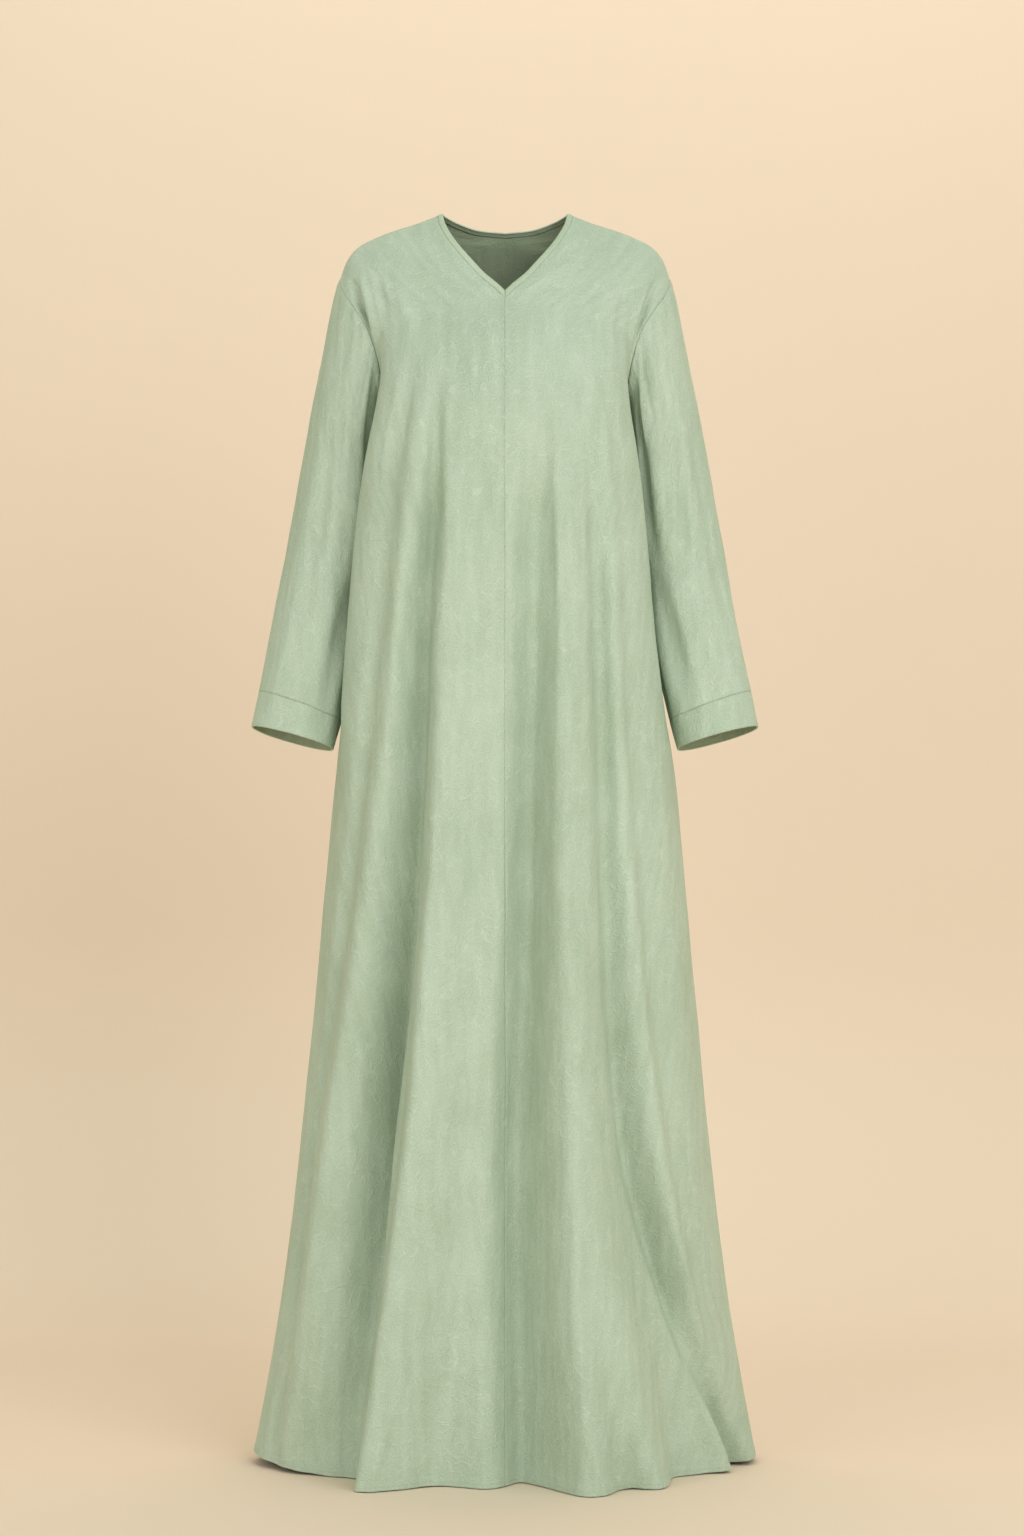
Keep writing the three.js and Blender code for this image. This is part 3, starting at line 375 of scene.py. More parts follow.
BACK_CREASES = [
    [(-205, -92, 0, 14, 14), (-320, -96, -2.6, 16, 14), (-480, -104, -3.2, 18, 16), (-640, -112, 0, 20, 18)],
    [(-230, -50, 0, 14, 14), (-340, -54, 2.4, 15, 14), (-520, -58, 3.0, 18, 16), (-700, -62, 0, 20, 20)],
    [(-225, 34, 0, 14, 14), (-330, 38, 2.2, 16, 14), (-500, 42, 2.8, 17, 16), (-680, 46, 0, 20, 20)],
    [(-215, 84, 0, 14, 14), (-330, 88, -2.8, 14, 16), (-470, 94, -3.4, 16, 18), (-660, 102, 0, 20, 20)],
    [(-92, -172, 0, 6, 6), (-120, -162, -3.0, 7, 7), (-160, -150, -3.6, 8, 8), (-205, -142, 0, 10, 10)],
    [(-92, 172, 0, 6, 6), (-118, 160, -3.2, 7, 7), (-158, 149, -3.4, 8, 8), (-200, 142, 0, 10, 10)],
    [(-96, -146, 0, 9, 9), (-130, -138, 1.6, 10, 10), (-175, -128, 0, 12, 12)],
    [(-96, 148, 0, 9, 9), (-132, 138, 1.6, 10, 10), (-178, 128, 0, 12, 12)],
    [(-900, -120, 0, 18, 18), (-1150, -138, -2.5, 22, 22), (-1524, -156, -4, 26, 26)],
    [(-900, 24, 0, 18, 18), (-1150, 26, 2.5, 22, 22), (-1524, 30, 4, 26, 26)],
    [(-1000, 184, 0, 16, 16), (-1250, 196, -2.5, 18, 18), (-1524, 206, -3.5, 22, 22)],
]


def lattice_noise(p, cell, seed):
    """Soft seeded noise in 3-D, -1 to 1, with a cell size for each axis in mm."""
    rng = np.random.default_rng(seed)
    table = rng.uniform(-1, 1, 4096)
    q = p / np.asarray(cell)
    i = np.floor(q).astype(np.int64)
    f = q - i
    f = f * f * f * (f * (f * 6 - 15) + 10)
    total = 0
    for dx in (0, 1):
        for dy in (0, 1):
            for dz in (0, 1):
                h = ((i[..., 0] + dx) * 73856093 ^ (i[..., 1] + dy) * 19349663 ^ (i[..., 2] + dz) * 83492791) & 4095
                w = np.where(dx, f[..., 0], 1 - f[..., 0]) * np.where(dy, f[..., 1], 1 - f[..., 1]) * np.where(dz, f[..., 2], 1 - f[..., 2])
                total = total + table[h] * w
    return total


def grid_normals(rows, side, is_front):
    across = np.gradient(rows, axis=1)
    down = np.gradient(rows, axis=0)
    n = unit(np.cross(across, down))
    want = -1 if is_front else 1
    return n * np.sign((n[..., 1].mean() * want) or 1)


def wrinkled(rows, side, is_front):
    """The finished grid of a panel half with its smaller folds and its slow unevenness."""
    n = grid_normals(rows, side, is_front)
    x, z = rows[..., 0], rows[..., 2]
    push = np.zeros(x.shape)
    for crease in (CREASES if is_front else BACK_CREASES):
        c = np.array(crease, float)
        c = c[np.argsort(c[:, 0])]
        live = (z > c[0, 0]) & (z < c[-1, 0]) if c[0, 2] == 0 else (z < c[-1, 0])
        if not live.any():
            continue
        xc = hermite(c[:, 0], c[:, 1], z)
        depth = hermite(c[:, 0], c[:, 2], z)
        away = x - xc
        width = np.where(away < 0, np.interp(z, c[:, 0], c[:, 3]), np.interp(z, c[:, 0], c[:, 4])) * 1.25
        push += np.where(live, (1.0 if is_front else 1.8) * depth * hump(away / width), 0)
    lower = ease((-z - 300) / 900)
    push += 1.1 * (0.5 + lower) * lattice_noise(rows, (34, 60, 190), 11)
    push += 0.55 * lattice_noise(rows, (17, 40, 70), 12)
    push += 0.22 * lattice_noise(rows, (9, 20, 26), 13)
    # nothing moves at the seams, so that the panels still meet
    shares = SHARES[None, :]
    j = np.arange(rows.shape[0])[:, None]
    width = np.linalg.norm(np.diff(rows, axis=1), axis=2).sum(1)[:, None]
    from_outer = (1 - shares) * width
    from_centre = shares * width
    hold = ease(from_outer / 9)
    down = np.linalg.norm(np.diff(rows[:, HALF_COLS // 2], axis=0), axis=1)
    from_top = np.concatenate([[0], np.cumsum(down)])[:, None]
    hold = hold * ease(from_top / 12)
    n_neck = NECK_ROWS_FRONT if is_front else NECK_ROWS_BACK
    hold = hold * np.where(j <= n_neck + 3, ease(from_centre / 14), 1)
    push = push * hold
    # turned-in edges at the seams
    seam_in = lambda dist, deep, reach: deep * np.exp(-(dist / reach) ** 2)
    if is_front:                       # centre front: one turned edge lies a little over the other
        fade = (0.3 + 0.7 * ease((z + 500) / 200)) * ease((z + 780) / 140)
        below = np.where(j > n_neck, 1.0, 0.0)
        lap = 0.62 * seam_in(from_centre - 1.0, 1, 1.0) if side < 0 else -0.30 * seam_in(from_centre - 0.8, 1, 0.9)
        push += lap * fade * below
        push -= seam_in(from_centre, 0.42, 1.1) * ease((z + 168) / 22) * below
        pucker = lattice_noise(rows, (5, 40, 13), 14) * np.exp(-((from_centre - 5) / 5) ** 2)
        push += 0.55 * pucker * fade * below * ease(from_centre / 3)
    push -= np.where(j <= n_neck, seam_in(from_centre, 0.22, 1.4), 0)
    push -= seam_in(from_outer, 0.26, 1.6)
    push += seam_in(from_outer - 4.5, 0.25, 2.4) * np.where(j <= YOKE_ROWS, 1, 0.5)
    push -= seam_in(from_top, 0.25, 1.6)
    # the turned-up bottom hem is a little thicker, dented along its two rows of stitches
    up = np.concatenate([[0], np.cumsum(np.linalg.norm(np.diff(rows[::-1], axis=0), axis=2).mean(1))])[::-1][:, None]
    push += 0.55 * ease((BOTTOM_HEM + 1.5 - up) / 1.6)
    for d in (BOTTOM_HEM, BOTTOM_HEM - 5.5):
        push -= 0.28 * np.exp(-((up - d) / 0.9) ** 2)
    push -= 0.5 * ease((1.3 - up) / 1.3)
    push += 0.5 * lattice_noise(rows, (7, 40, 60), 15) * ease((BOTTOM_HEM + 5 - up) / 6) * hold
    return rows + n * push[..., None]


# ---------------------------------------------------------------- sleeves
LOOP = np.concatenate([ARM_FRONT[:-1], ARM_BACK[1:][::-1]])
TURNS = np.concatenate([np.pi * np.arange(YOKE_ROWS) / YOKE_ROWS, np.pi * (1 + np.arange(YOKE_ROWS) / YOKE_ROWS)])


def ring_points(at, turn):
    r = {name: float(hermite(RINGS[:, 0], RINGS[:, k], at)) for k, name in enumerate(RING_COLUMNS)}
    c, s, k = np.cos(turn), np.sin(turn), 2 / r["n"]
    across, deep = np.sign(c) * np.abs(c) ** k, np.sign(s) * np.abs(s) ** k
    p = np.stack([r["xi"] + (r["xo"] - r["xi"]) * (0.5 + 0.5 * across), r["y"] - r["depth"] * deep,
                  r["zi"] + (r["zo"] - r["zi"]) * (0.5 + 0.5 * across) + CUFF_TILT * at * at * deep], 1)
    centre = np.array([(r["xi"] + r["xo"]) / 2, r["y"], (r["zi"] + r["zo"]) / 2])
    out = p - centre
    size = np.linalg.norm(out, axis=1)
    out = unit(out)
    for t0, t1, a, b, depth, width in SLEEVE_FOLDS:
        if a < at < b:
            t = (at - a) / (b - a)
            m = math.radians(t0 + (t1 - t0) * t)
            away = np.arctan2(np.sin(turn - m), np.cos(turn - m)) * size
            p = p + out * (depth * hump(away / width) * math.sin(math.pi * t))[:, None]
    return p


RING0 = ring_points(0, TURNS)


def sleeve_rows(side, start, stop, count):
    rows = []
    for at in np.linspace(start, stop, count + 1):
        settle = 1 - float(ease(at / 0.3))
        rows.append(mirrored(ring_points(at, TURNS) + (LOOP - RING0) * settle, side))
    return np.array(rows)


# the smaller sleeve folds: side, turn, turn at its end, from, to, depth, width
SLEEVE_CREASES = [
    (-1, 148, 160, 0.02, 0.78, -10.0, 22), (-1, 128, 140, 0.03, 0.60, -5.0, 12), (-1, 110, 126, 0.03, 0.60, 4.6, 16), (-1, 158, 162, 0.3, 0.9, -5.0, 15),
    (-1, 60, 74, 0.2, 0.78, -2.4, 16), (-1, 88, 98, 0.30, 0.97, 4.2, 17), (-1, 124, 132, 0.52, 0.99, -5.2, 15),
    (-1, 34, 26, 0.3, 0.92, -2.0, 14), (-1, 92, 98, 0.02, 0.24, -3.6, 10), (-1, 74, 70, 0.01, 0.2, 2.4, 12),
    (-1, 104, 108, 0.0, 0.2, 2.8, 8), (-1, 118, 122, 0.0, 0.26, -3.4, 8), (-1, 70, 56, 0.55, 0.98, 2.2, 14),
    (-1, 250, 262, 0.1, 0.6, 3.6, 16), (-1, 222, 236, 0.2, 0.75, -3.8, 16), (-1, 300, 290, 0.3, 0.85, 2.6, 16),
    (-1, 268, 276, 0.02, 0.34, -3.0, 12), (-1, 240, 244, 0.5, 0.97, 3.2, 14),
    (1, 156, 158, 0.02, 0.80, -9.0, 20), (1, 136, 124, 0.05, 0.56, -5.5, 12), (1, 120, 104, 0.06, 0.56, 5.2, 14), (1, 97, 80, 0.1, 0.72, -4.2, 14),
    (1, 150, 148, 0.42, 0.96, 4.6, 15), (1, 168, 170, 0.38, 0.94, -5.0, 14), (1, 124, 120, 0.50, 0.98, -4.0, 15),
    (1, 70, 56, 0.08, 0.6, 2.6, 14), (1, 52, 42, 0.3, 0.9, -2.6, 15), (1, 84, 72, 0.5, 0.97, 3.2, 15),
    (1, 96, 104, 0.0, 0.22, -3.4, 9), (1, 80, 84, 0.0, 0.2, 2.6, 9), (1, 112, 120, 0.01, 0.26, 3.0, 8),
    (1, 252, 262, 0.1, 0.6, 3.6, 16), (1, 224, 236, 0.2, 0.75, -3.8, 16), (1, 300, 290, 0.3, 0.85, 2.6, 16),
    (1, 270, 278, 0.02, 0.36, -3.0, 12), (1, 242, 246, 0.5, 0.97, 3.0, 14),
]


def worn_sleeve(rows, start, stop, side):
    """Sleeve or cuff rings with their smaller folds, seam edges and unevenness."""
    across = np.roll(rows, -1, 1) - np.roll(rows, 1, 1)
    down = np.gradient(rows, axis=0)
    n = unit(np.cross(across, down))
    middle = rows.mean(1, keepdims=True)
    if ((n * (rows - middle)).sum(-1)).mean() < 0:
        n = -n
    at = np.linspace(start, stop, len(rows))[:, None]
    size = np.linalg.norm(rows - middle, axis=2)
    push = np.zeros(rows.shape[:2])
    for which, t0, t1, a, b, depth, width in SLEEVE_CREASES:
        if which != side:
            continue
        t = np.clip((at - a) / (b - a), 0, 1)
        m = np.radians(t0 + (t1 - t0) * t)
        away = np.arctan2(np.sin(TURNS[None, :] - m), np.cos(TURNS[None, :] - m)) * size
        push += depth * hump(away / (width * 1.2)) * np.sin(np.pi * t)
    push += 1.0 * lattice_noise(rows, (40, 34, 130), 21)
    push += 0.5 * lattice_noise(rows, (18, 18, 46), 22)
    push += 0.2 * lattice_noise(rows, (9, 9, 18), 23)
    length = np.concatenate([[0], np.cumsum(np.linalg.norm(np.diff(rows, axis=0), axis=2).mean(1))])[:, None]
    if start == 0:
        push *= ease(length / 9)
        push -= 0.45 * np.exp(-(length / 2.0) ** 2)
        push += 0.7 * np.exp(-((length - 7) / 4) ** 2) * (0.6 + 0.4 * np.sin(TURNS * 26))[None, :]
    to_hem = length if start > 0 else length[-1] - length
    pucker = lattice_noise(rows, (9, 9, 30), 24) * np.exp(-(to_hem / 9) ** 2)
    push += 0.55 * pucker
    if start == 0:
        push -= 0.16 * np.exp(-(to_hem / 1.0) ** 2)
    else:
        push += 0.30 * ease(to_hem / 1.4) - 0.12 * np.exp(-(to_hem / 0.9) ** 2)
        to_edge = length[-1] - length
        push -= 0.5 * ease((1.2 - to_edge) / 1.2)
        push += 0.4 * lattice_noise(rows, (10, 10, 40), 25) * np.exp(-(to_edge / 10) ** 2)
    return rows + n * push[..., None]


# ---------------------------------------------------------------- mesh building
def grid_faces(rows, cols, around, flip, base=0):
    i = np.arange(rows - 1)[:, None]
    j = np.arange(cols if around else cols - 1)[None, :]
    a = i * cols + j
    b = (i + 1) * cols + j
    c = (i + 1) * cols + (j + 1) % cols
    d = i * cols + (j + 1) % cols
    q = np.stack([a, b, c, d], -1).reshape(-1, 4)
    if flip:
        q = q[:, ::-1]
    return q + base


def vertex_normals(points, quads):
    n = np.zeros_like(points)
    a, b, c, d = (points[quads[:, k]] for k in range(4))
    face = np.cross(c - a, d - b)
    for k in range(4):
        np.add.at(n, quads[:, k], face)
    return unit(n)


def open_edges(quads):
    e = np.concatenate([np.stack([quads[:, k], quads[:, (k + 1) % 4]], 1) for k in range(4)])
    e = e[e[:, 0] != e[:, 1]]
    big = int(quads.max()) + 1
    code, back = e[:, 0].astype(np.int64) * big + e[:, 1], e[:, 1].astype(np.int64) * big + e[:, 0]
    return e[~np.isin(code, back)]


class Sheet:
    """One panel: welded points in mm, quads facing out, and its cloth co-ordinates in metres."""

    def __init__(self, name, points, quads, uv):
        key = np.round(points * 500).astype(np.int64)
        _, first, inverse = np.unique(key, axis=0, return_index=True, return_inverse=True)
        order = np.argsort(first)
        rank = np.empty(len(order), int)
        rank[order] = np.arange(len(order))
        self.name = name
        self.keep = first[order]
        self.points = points[self.keep]
        self.uv = uv[self.keep]
        q = rank[inverse.reshape(-1)][quads]
        good = np.array([len(set(r)) >= 3 for r in q.tolist()])
        self.quads = q[good]
        self.edges = open_edges(self.quads)
        self.normals = vertex_normals(self.points, self.quads)


def cloth_uv(rows, around=False, origin=(0.0, 0.0)):
    """Cloth co-ordinates: metres down and across, each measured on the cloth itself."""
    across = np.linalg.norm(np.diff(rows, axis=1), axis=2)
    down = np.linalg.norm(np.diff(rows, axis=0), axis=2)
    u = np.concatenate([np.zeros((len(rows), 1)), np.cumsum(across, 1)], 1)
    v = np.concatenate([np.zeros((1, rows.shape[1])), np.cumsum(down.mean(1, keepdims=True) + 0 * down, 0)], 0)
    return np.stack([u / 1000 + origin[0], v / 1000 + origin[1]], -1).reshape(-1, 2)


def run_on(mesh, v_rows, rounds):
    """Round a tube, the faces that close it take the co-ordinates that follow on, not the first ones again."""
    layer = mesh.uv_layers["cloth"].data
    uv = np.empty(len(mesh.loops) * 2)
    layer.foreach_get("uv", uv)
    uv = uv.reshape(-1, 2)
    start, total = np.empty(len(mesh.polygons), int), np.empty(len(mesh.polygons), int)
    mesh.polygons.foreach_get("loop_start", start)
    mesh.polygons.foreach_get("loop_total", total)
    poly = np.repeat(np.arange(len(start)), total)
    top = np.full(len(start), -1e9)
    np.maximum.at(top, poly, uv[:, 0])
    low = uv[:, 0] < top[poly] - 0.1
    uv[low, 0] += np.interp(uv[low, 1], v_rows, rounds)
    layer.foreach_set("uv", uv.ravel())


def shell(sheet, thick, seam_ends, slots, collection=None, side_wave=None):
    """A closed thin shell: the sheet, the same moved in, and its rim. seam_ends: points that draw back."""
    p, n = sheet.points.copy(), sheet.normals
    on_edge = np.zeros(len(p), bool)
    on_edge[sheet.edges.ravel()] = True
    inward = np.zeros_like(p)
    along = unit(p[sheet.edges[:, 1]] - p[sheet.edges[:, 0]])
    face = unit(n[sheet.edges[:, 0]] + n[sheet.edges[:, 1]])
    into = unit(np.cross(face, along))
    np.add.at(inward, sheet.edges[:, 0], into)
    np.add.at(inward, sheet.edges[:, 1], into)
    use = on_edge & seam_ends(p)
    p[use] += unit(inward[use]) * np.where(p[use, 2:] < -200, 0.4, 1.0) * SEAM_GAP
    inner = p - n * thick
    count = len(p)
    verts = np.concatenate([p, inner]) / 1000
    back = sheet.quads[:, ::-1] + count
    rim = np.stack([sheet.edges[:, 1], sheet.edges[:, 0], sheet.edges[:, 0] + count, sheet.edges[:, 1] + count], 1)
    faces = np.concatenate([sheet.quads, back, rim])
    mesh = bpy.data.meshes.new(sheet.name)
    clean = [list(dict.fromkeys(f)) for f in faces.tolist()]
    mesh.from_pydata(verts.tolist(), [], clean)
    uv = np.concatenate([sheet.uv, sheet.uv])
    layer = mesh.uv_layers.new(name="cloth")
    index = np.empty(len(mesh.loops), int)
    mesh.loops.foreach_get("vertex_index", index)
    layer.data.foreach_set("uv", uv[index].ravel())
    which = np.zeros(len(clean), int)
    which[len(sheet.quads):len(sheet.quads) * 2] = 1
    mesh.polygons.foreach_set("material_index", which)
    which[len(sheet.quads) * 2:] = 2                 # the rim: a folded edge, crisp
    mesh.polygons.foreach_set("use_smooth", which < 2)
    mesh.update()
    obj = bpy.data.objects.new(sheet.name, mesh)
    bpy.context.scene.collection.objects.link(obj)
    for m in slots:
        obj.data.materials.append(m)
    return obj


# ---------------------------------------------------------------- materials
def nodes_of(name):
    m = bpy.data.materials.new(name)
    m.use_nodes = True
    t = m.node_tree
    t.nodes.clear()
    return m, t


def add(t, kind, **values):
    n = t.nodes.new(kind)
    for k, v in values.items():
        if k.startswith("in_"):
            key = k[3:]
            n.inputs[int(key) if key.isdigit() else key.replace("_", " ")].default_value = v
        else:
            setattr(n, k, v)
    return n


def cloth_material(name, base, deep, inside=False, emboss=1.0):
    m, t = nodes_of(name)
    L = t.links.new
    out = add(t, "ShaderNodeOutputMaterial")
    b = add(t, "ShaderNodeBsdfPrincipled")
    b.inputs["Roughness"].default_value = 0.82
    b.inputs["Sheen Weight"].default_value = 0.14
    b.inputs["Sheen Roughness"].default_value = 0.45
    b.inputs["Sheen Tint"].default_value = (0.80, 0.95, 0.66, 1)
    b.inputs["Specular IOR Level"].default_value = 0.3
    L(b.outputs[0], out.inputs[0])
    uv = add(t, "ShaderNodeUVMap", uv_map="cloth")

    def math_(op, a, c=None, clamp=False):
        n = add(t, "ShaderNodeMath", operation=op, use_clamp=clamp)
        for k, x in enumerate((a, c)):
            if x is None:
                continue
            if isinstance(x, (int, float)):
                n.inputs[k].default_value = x
            else:
                L(x, n.inputs[k])
        return n.outputs[0]

    def noise(scale, detail=0.0, distortion=0.0, w=0.0, rough=0.5):
        n = add(t, "ShaderNodeTexNoise", noise_dimensions="2D")
        shift = add(t, "ShaderNodeVectorMath", operation="ADD")
        L(uv.outputs[0], shift.inputs[0])
        shift.inputs[1].default_value = (w * 1.37, w * 0.71, w)
        L(shift.outputs[0], n.inputs["Vector"])
        n.inputs["Scale"].default_value = scale
        n.inputs["Detail"].default_value = detail
        n.inputs["Roughness"].default_value = rough
        n.inputs["Distortion"].default_value = distortion
        return n.outputs["Fac"]

    def ramp(x, lo, hi, a=0.0, c=1.0, smooth=True):
        n = add(t, "ShaderNodeMapRange", interpolation_type="SMOOTHSTEP" if smooth else "LINEAR")
        L(x, n.inputs["Value"])
        n.inputs["From Min"].default_value = lo
        n.inputs["From Max"].default_value = hi
        n.inputs["To Min"].default_value = a
        n.inputs["To Max"].default_value = c
        return n.outputs["Result"]

    def bent(twist, grain, w):
        """The cloth's own flat position, pushed about by a soft noise."""
        shift = add(t, "ShaderNodeVectorMath", operation="ADD")
        L(uv.outputs[0], shift.inputs[0])
        shift.inputs[1].default_value = (w * 0.37, w * 0.53, 0)
        bend = add(t, "ShaderNodeTexNoise", noise_dimensions="2D")
        L(shift.outputs[0], bend.inputs["Vector"])
        bend.inputs["Scale"].default_value = grain
        bend.inputs["Detail"].default_value = 0.0
        off = add(t, "ShaderNodeVectorMath", operation="SUBTRACT")
        L(bend.outputs["Color"], off.inputs[0])
        off.inputs[1].default_value = (0.5, 0.5, 0.5)
        size = add(t, "ShaderNodeVectorMath", operation="SCALE")
        L(off.outputs[0], size.inputs[0])
        size.inputs["Scale"].default_value = twist
        moved = add(t, "ShaderNodeVectorMath", operation="ADD")
        L(shift.outputs[0], moved.inputs[0])
        L(size.outputs[0], moved.inputs[1])
        return moved.outputs[0]

    def network(where, scale, width):
        """Crinkle lines: the edges of bent cells."""
        cell = add(t, "ShaderNodeTexVoronoi", voronoi_dimensions="2D", feature="DISTANCE_TO_EDGE")
        L(where, cell.inputs["Vector"])
        cell.inputs["Scale"].default_value = scale
        return ramp(cell.outputs["Distance"], 0.0, width, 1.0, 0.0)

    # crinkle: broken curls of two sizes that take turns, long wrinkles, and short strokes
    near = bent(0.0170, 56, 1.1)
    turns = noise(78, 1.0, 0.0, 8.4)
    a = math_("MULTIPLY", network(near, 66, 0.095), ramp(turns, 0.44, 0.54))
    c = math_("MULTIPLY", network(near, 96, 0.13), ramp(turns, 0.44, 0.54, 1.0, 0.0))
    broken = noise(24, 0.0, 0.0, 15.9)
    d = math_("MULTIPLY", network(bent(0.0300, 18, 8.6), 15, 0.022), ramp(broken, 0.46, 0.56))
    wave = math_("SINE", math_("MULTIPLY", noise(54, 0.5, 0.0, 3.1), 26))
    e = math_("MULTIPLY", ramp(wave, 0.80, 1.0), ramp(broken, 0.54, 0.44))
    raised = math_("ADD", math_("ADD", math_("MULTIPLY", a, 0.8), math_("MULTIPLY", c, 0.6)),
                   math_("ADD", math_("MULTIPLY", d, 0.22), math_("MULTIPLY", e, 0.4)))
    patches = ramp(noise(9, 0.0, 0.0, 12.0), 0.35, 0.6, 0.72, 1.0)
    raised = math_("MULTIPLY", raised, patches)
    # weave: fine diagonal lines of the threads, both ways
    sep = add(t, "ShaderNodeSeparateXYZ")
    L(uv.outputs[0], sep.inputs[0])
    diag = math_("ADD", sep.outputs[0], sep.outputs[1])
    weave = math_("SINE", math_("MULTIPLY", diag, 2 * math.pi / 0.0033))
    cross = math_("SINE", math_("MULTIPLY", math_("SUBTRACT", sep.outputs[0], sep.outputs[1]), 2 * math.pi / 0.0029))
    threads = math_("ADD", math_("MULTIPLY", weave, 0.55), math_("MULTIPLY", cross, 0.35))
    slub = noise(620, 1.0, 0.0, 3.0)
    # soft creasing that runs down the cloth
    squash = add(t, "ShaderNodeMapping")
    L(uv.outputs[0], squash.inputs["Vector"])
    squash.inputs["Scale"].default_value = (1.0, 0.2, 1.0)
    long_ = add(t, "ShaderNodeTexNoise", noise_dimensions="2D")
    L(squash.outputs[0], long_.inputs["Vector"])
    long_.inputs["Scale"].default_value = 75.0
    long_.inputs["Detail"].default_value = 1.0
    lengthwise = long_.outputs["Fac"]
    fine = math_("ADD", math_("MULTIPLY", threads, 0.05), math_("MULTIPLY", slub, 0.22))
    soft = math_("ADD", math_("MULTIPLY", noise(26, 1.0, 0.0, 21.0), 1.6), math_("MULTIPLY", lengthwise, 1.1))
    height = math_("ADD", math_("ADD", math_("MULTIPLY", raised, 0.46 * emboss), fine), soft)
    bump = add(t, "ShaderNodeBump")
    bump.inputs["Strength"].default_value = 1.0
    bump.inputs["Distance"].default_value = 0.0011
    L(height, bump.inputs["Height"])
    L(bump.outputs[0], b.inputs["Normal"])
    # colour: slow patches, painted shade in the hollows of the soft lengthwise creases, a painted highlight on the
    # crests of the strokes, faint thread speckle
    tone = add(t, "ShaderNodeMix", data_type="RGBA")
    tone.inputs["A"].default_value = (*deep, 1)
    tone.inputs["B"].default_value = (*base, 1)
    slow = ramp(noise(5.5, 2.0, 0.0, 30.0), 0.3, 0.7, -0.5, 0.5, smooth=False)
    # painted shade: colour follows the soft lengthwise creases, darker in their hollows and lighter on their rises
    painted_crease_shade = ramp(lengthwise, 0.3, 0.7, -0.5, 0.5, smooth=False)
    speckle = ramp(slub, 0.0, 1.0, -0.5, 0.5, smooth=False)
    mixv = math_("ADD", math_("MULTIPLY", slow, 0.30), math_("MULTIPLY", painted_crease_shade, 0.25))
    mixv = math_("ADD", mixv, math_("ADD", math_("MULTIPLY", speckle, 1.1), math_("MULTIPLY", threads, 0.10)))
    # painted highlight: the raised strokes are also made lighter in colour, standing in for light on their crests
    mixv = math_("ADD", mixv, math_("MULTIPLY", raised, 0.44 * emboss))
    mixv = math_("ADD", mixv, 0.42, clamp=True)
    L(mixv, tone.inputs["Factor"])
    L(tone.outputs["Result"], b.inputs["Base Color"])
    rough = ramp(mixv, 0.0, 1.0, 0.88, 0.76, smooth=False)
    L(rough, b.inputs["Roughness"])
    return m


def thread_material(name, colour):
    m, t = nodes_of(name)
    out = add(t, "ShaderNodeOutputMaterial")
    b = add(t, "ShaderNodeBsdfPrincipled")
    b.inputs["Roughness"].default_value = 0.6
    b.inputs["Sheen Weight"].default_value = 0.2
    t.links.new(b.outputs[0], out.inputs[0])
    n = add(t, "ShaderNodeTexNoise")
    n.inputs["Scale"].default_value = 900
    r = add(t, "ShaderNodeMix", data_type="RGBA")
    r.inputs["A"].default_value = (*[c * 0.86 for c in colour], 1)
    r.inputs["B"].default_value = (*colour, 1)
    co = add(t, "ShaderNodeTexCoord")
    t.links.new(co.outputs["Object"], n.inputs["Vector"])
    t.links.new(n.outputs["Fac"], r.inputs["Factor"])
    t.links.new(r.outputs["Result"], b.inputs["Base Color"])
    bump = add(t, "ShaderNodeBump")
    bump.inputs["Strength"].default_value = 0.5
    bump.inputs["Distance"].default_value = 0.0002
    t.links.new(n.outputs["Fac"], bump.inputs["Height"])
    t.links.new(bump.outputs[0], b.inputs["Normal"])
    return m


GREEN, GREEN_DEEP = (0.540, 0.638, 0.537), (0.386, 0.484, 0.370)
CLOTH_OUT = cloth_material("dress_cloth", GREEN, GREEN_DEEP)
CLOTH_IN = cloth_material("dress_cloth_wrong_side", (0.43, 0.50, 0.36), (0.32, 0.39, 0.26), emboss=0.6)
BIND_OUT = cloth_material("binding_cloth", (0.54, 0.64, 0.51), (0.41, 0.51, 0.37), emboss=0.35)
THREAD = thread_material("seam_thread", (0.47, 0.56, 0.40))
OUTER = [CLOTH_OUT, CLOTH_IN]

# ---------------------------------------------------------------- build the panels
grids = {"fl": wrinkled(half_body(1, True), 1, True), "fr": wrinkled(half_body(-1, True), -1, True),
         "bl": wrinkled(half_body(1, False), 1, False), "br": wrinkled(half_body(-1, False), -1, False)}
for key, one in (("fr", "fl"), ("br", "bl")):      # both halves meet on one line
    n_neck = NECK_ROWS_FRONT if key == "fr" else NECK_ROWS_BACK
    middle = (grids[key][n_neck:, 0] * [1, 1, 1] + grids[one][n_neck:, 0]) / 2
    middle[:, 0] = 0
    grids[key][n_neck:, 0] = grids[one][n_neck:, 0] = middle


THIN = np.concatenate([np.arange(6), np.arange(6, HALF_COLS - 6, 2), np.arange(HALF_COLS - 6, HALF_COLS)])
for key in ("bl", "br"):
    grids[key] = grids[key][:, THIN]


def joined(parts):
    pts, quads, uvs, base = [], [], [], 0
    for rows, around, flip, uv in parts:
        pts.append(rows.reshape(-1, 3))
        quads.append(grid_faces(rows.shape[0], rows.shape[1], around, flip, base))
        uvs.append(uv)
        base += rows.shape[0] * rows.shape[1]
    return np.concatenate(pts), np.concatenate(quads), np.concatenate(uvs)


def any_seam(p):
    return p[:, 2] > -LENGTH + 0.5


def body_uv(rows, side, offset):
    uv = cloth_uv(rows)
    uv[:, 0] = uv[:, 0] * side + offset
    return uv


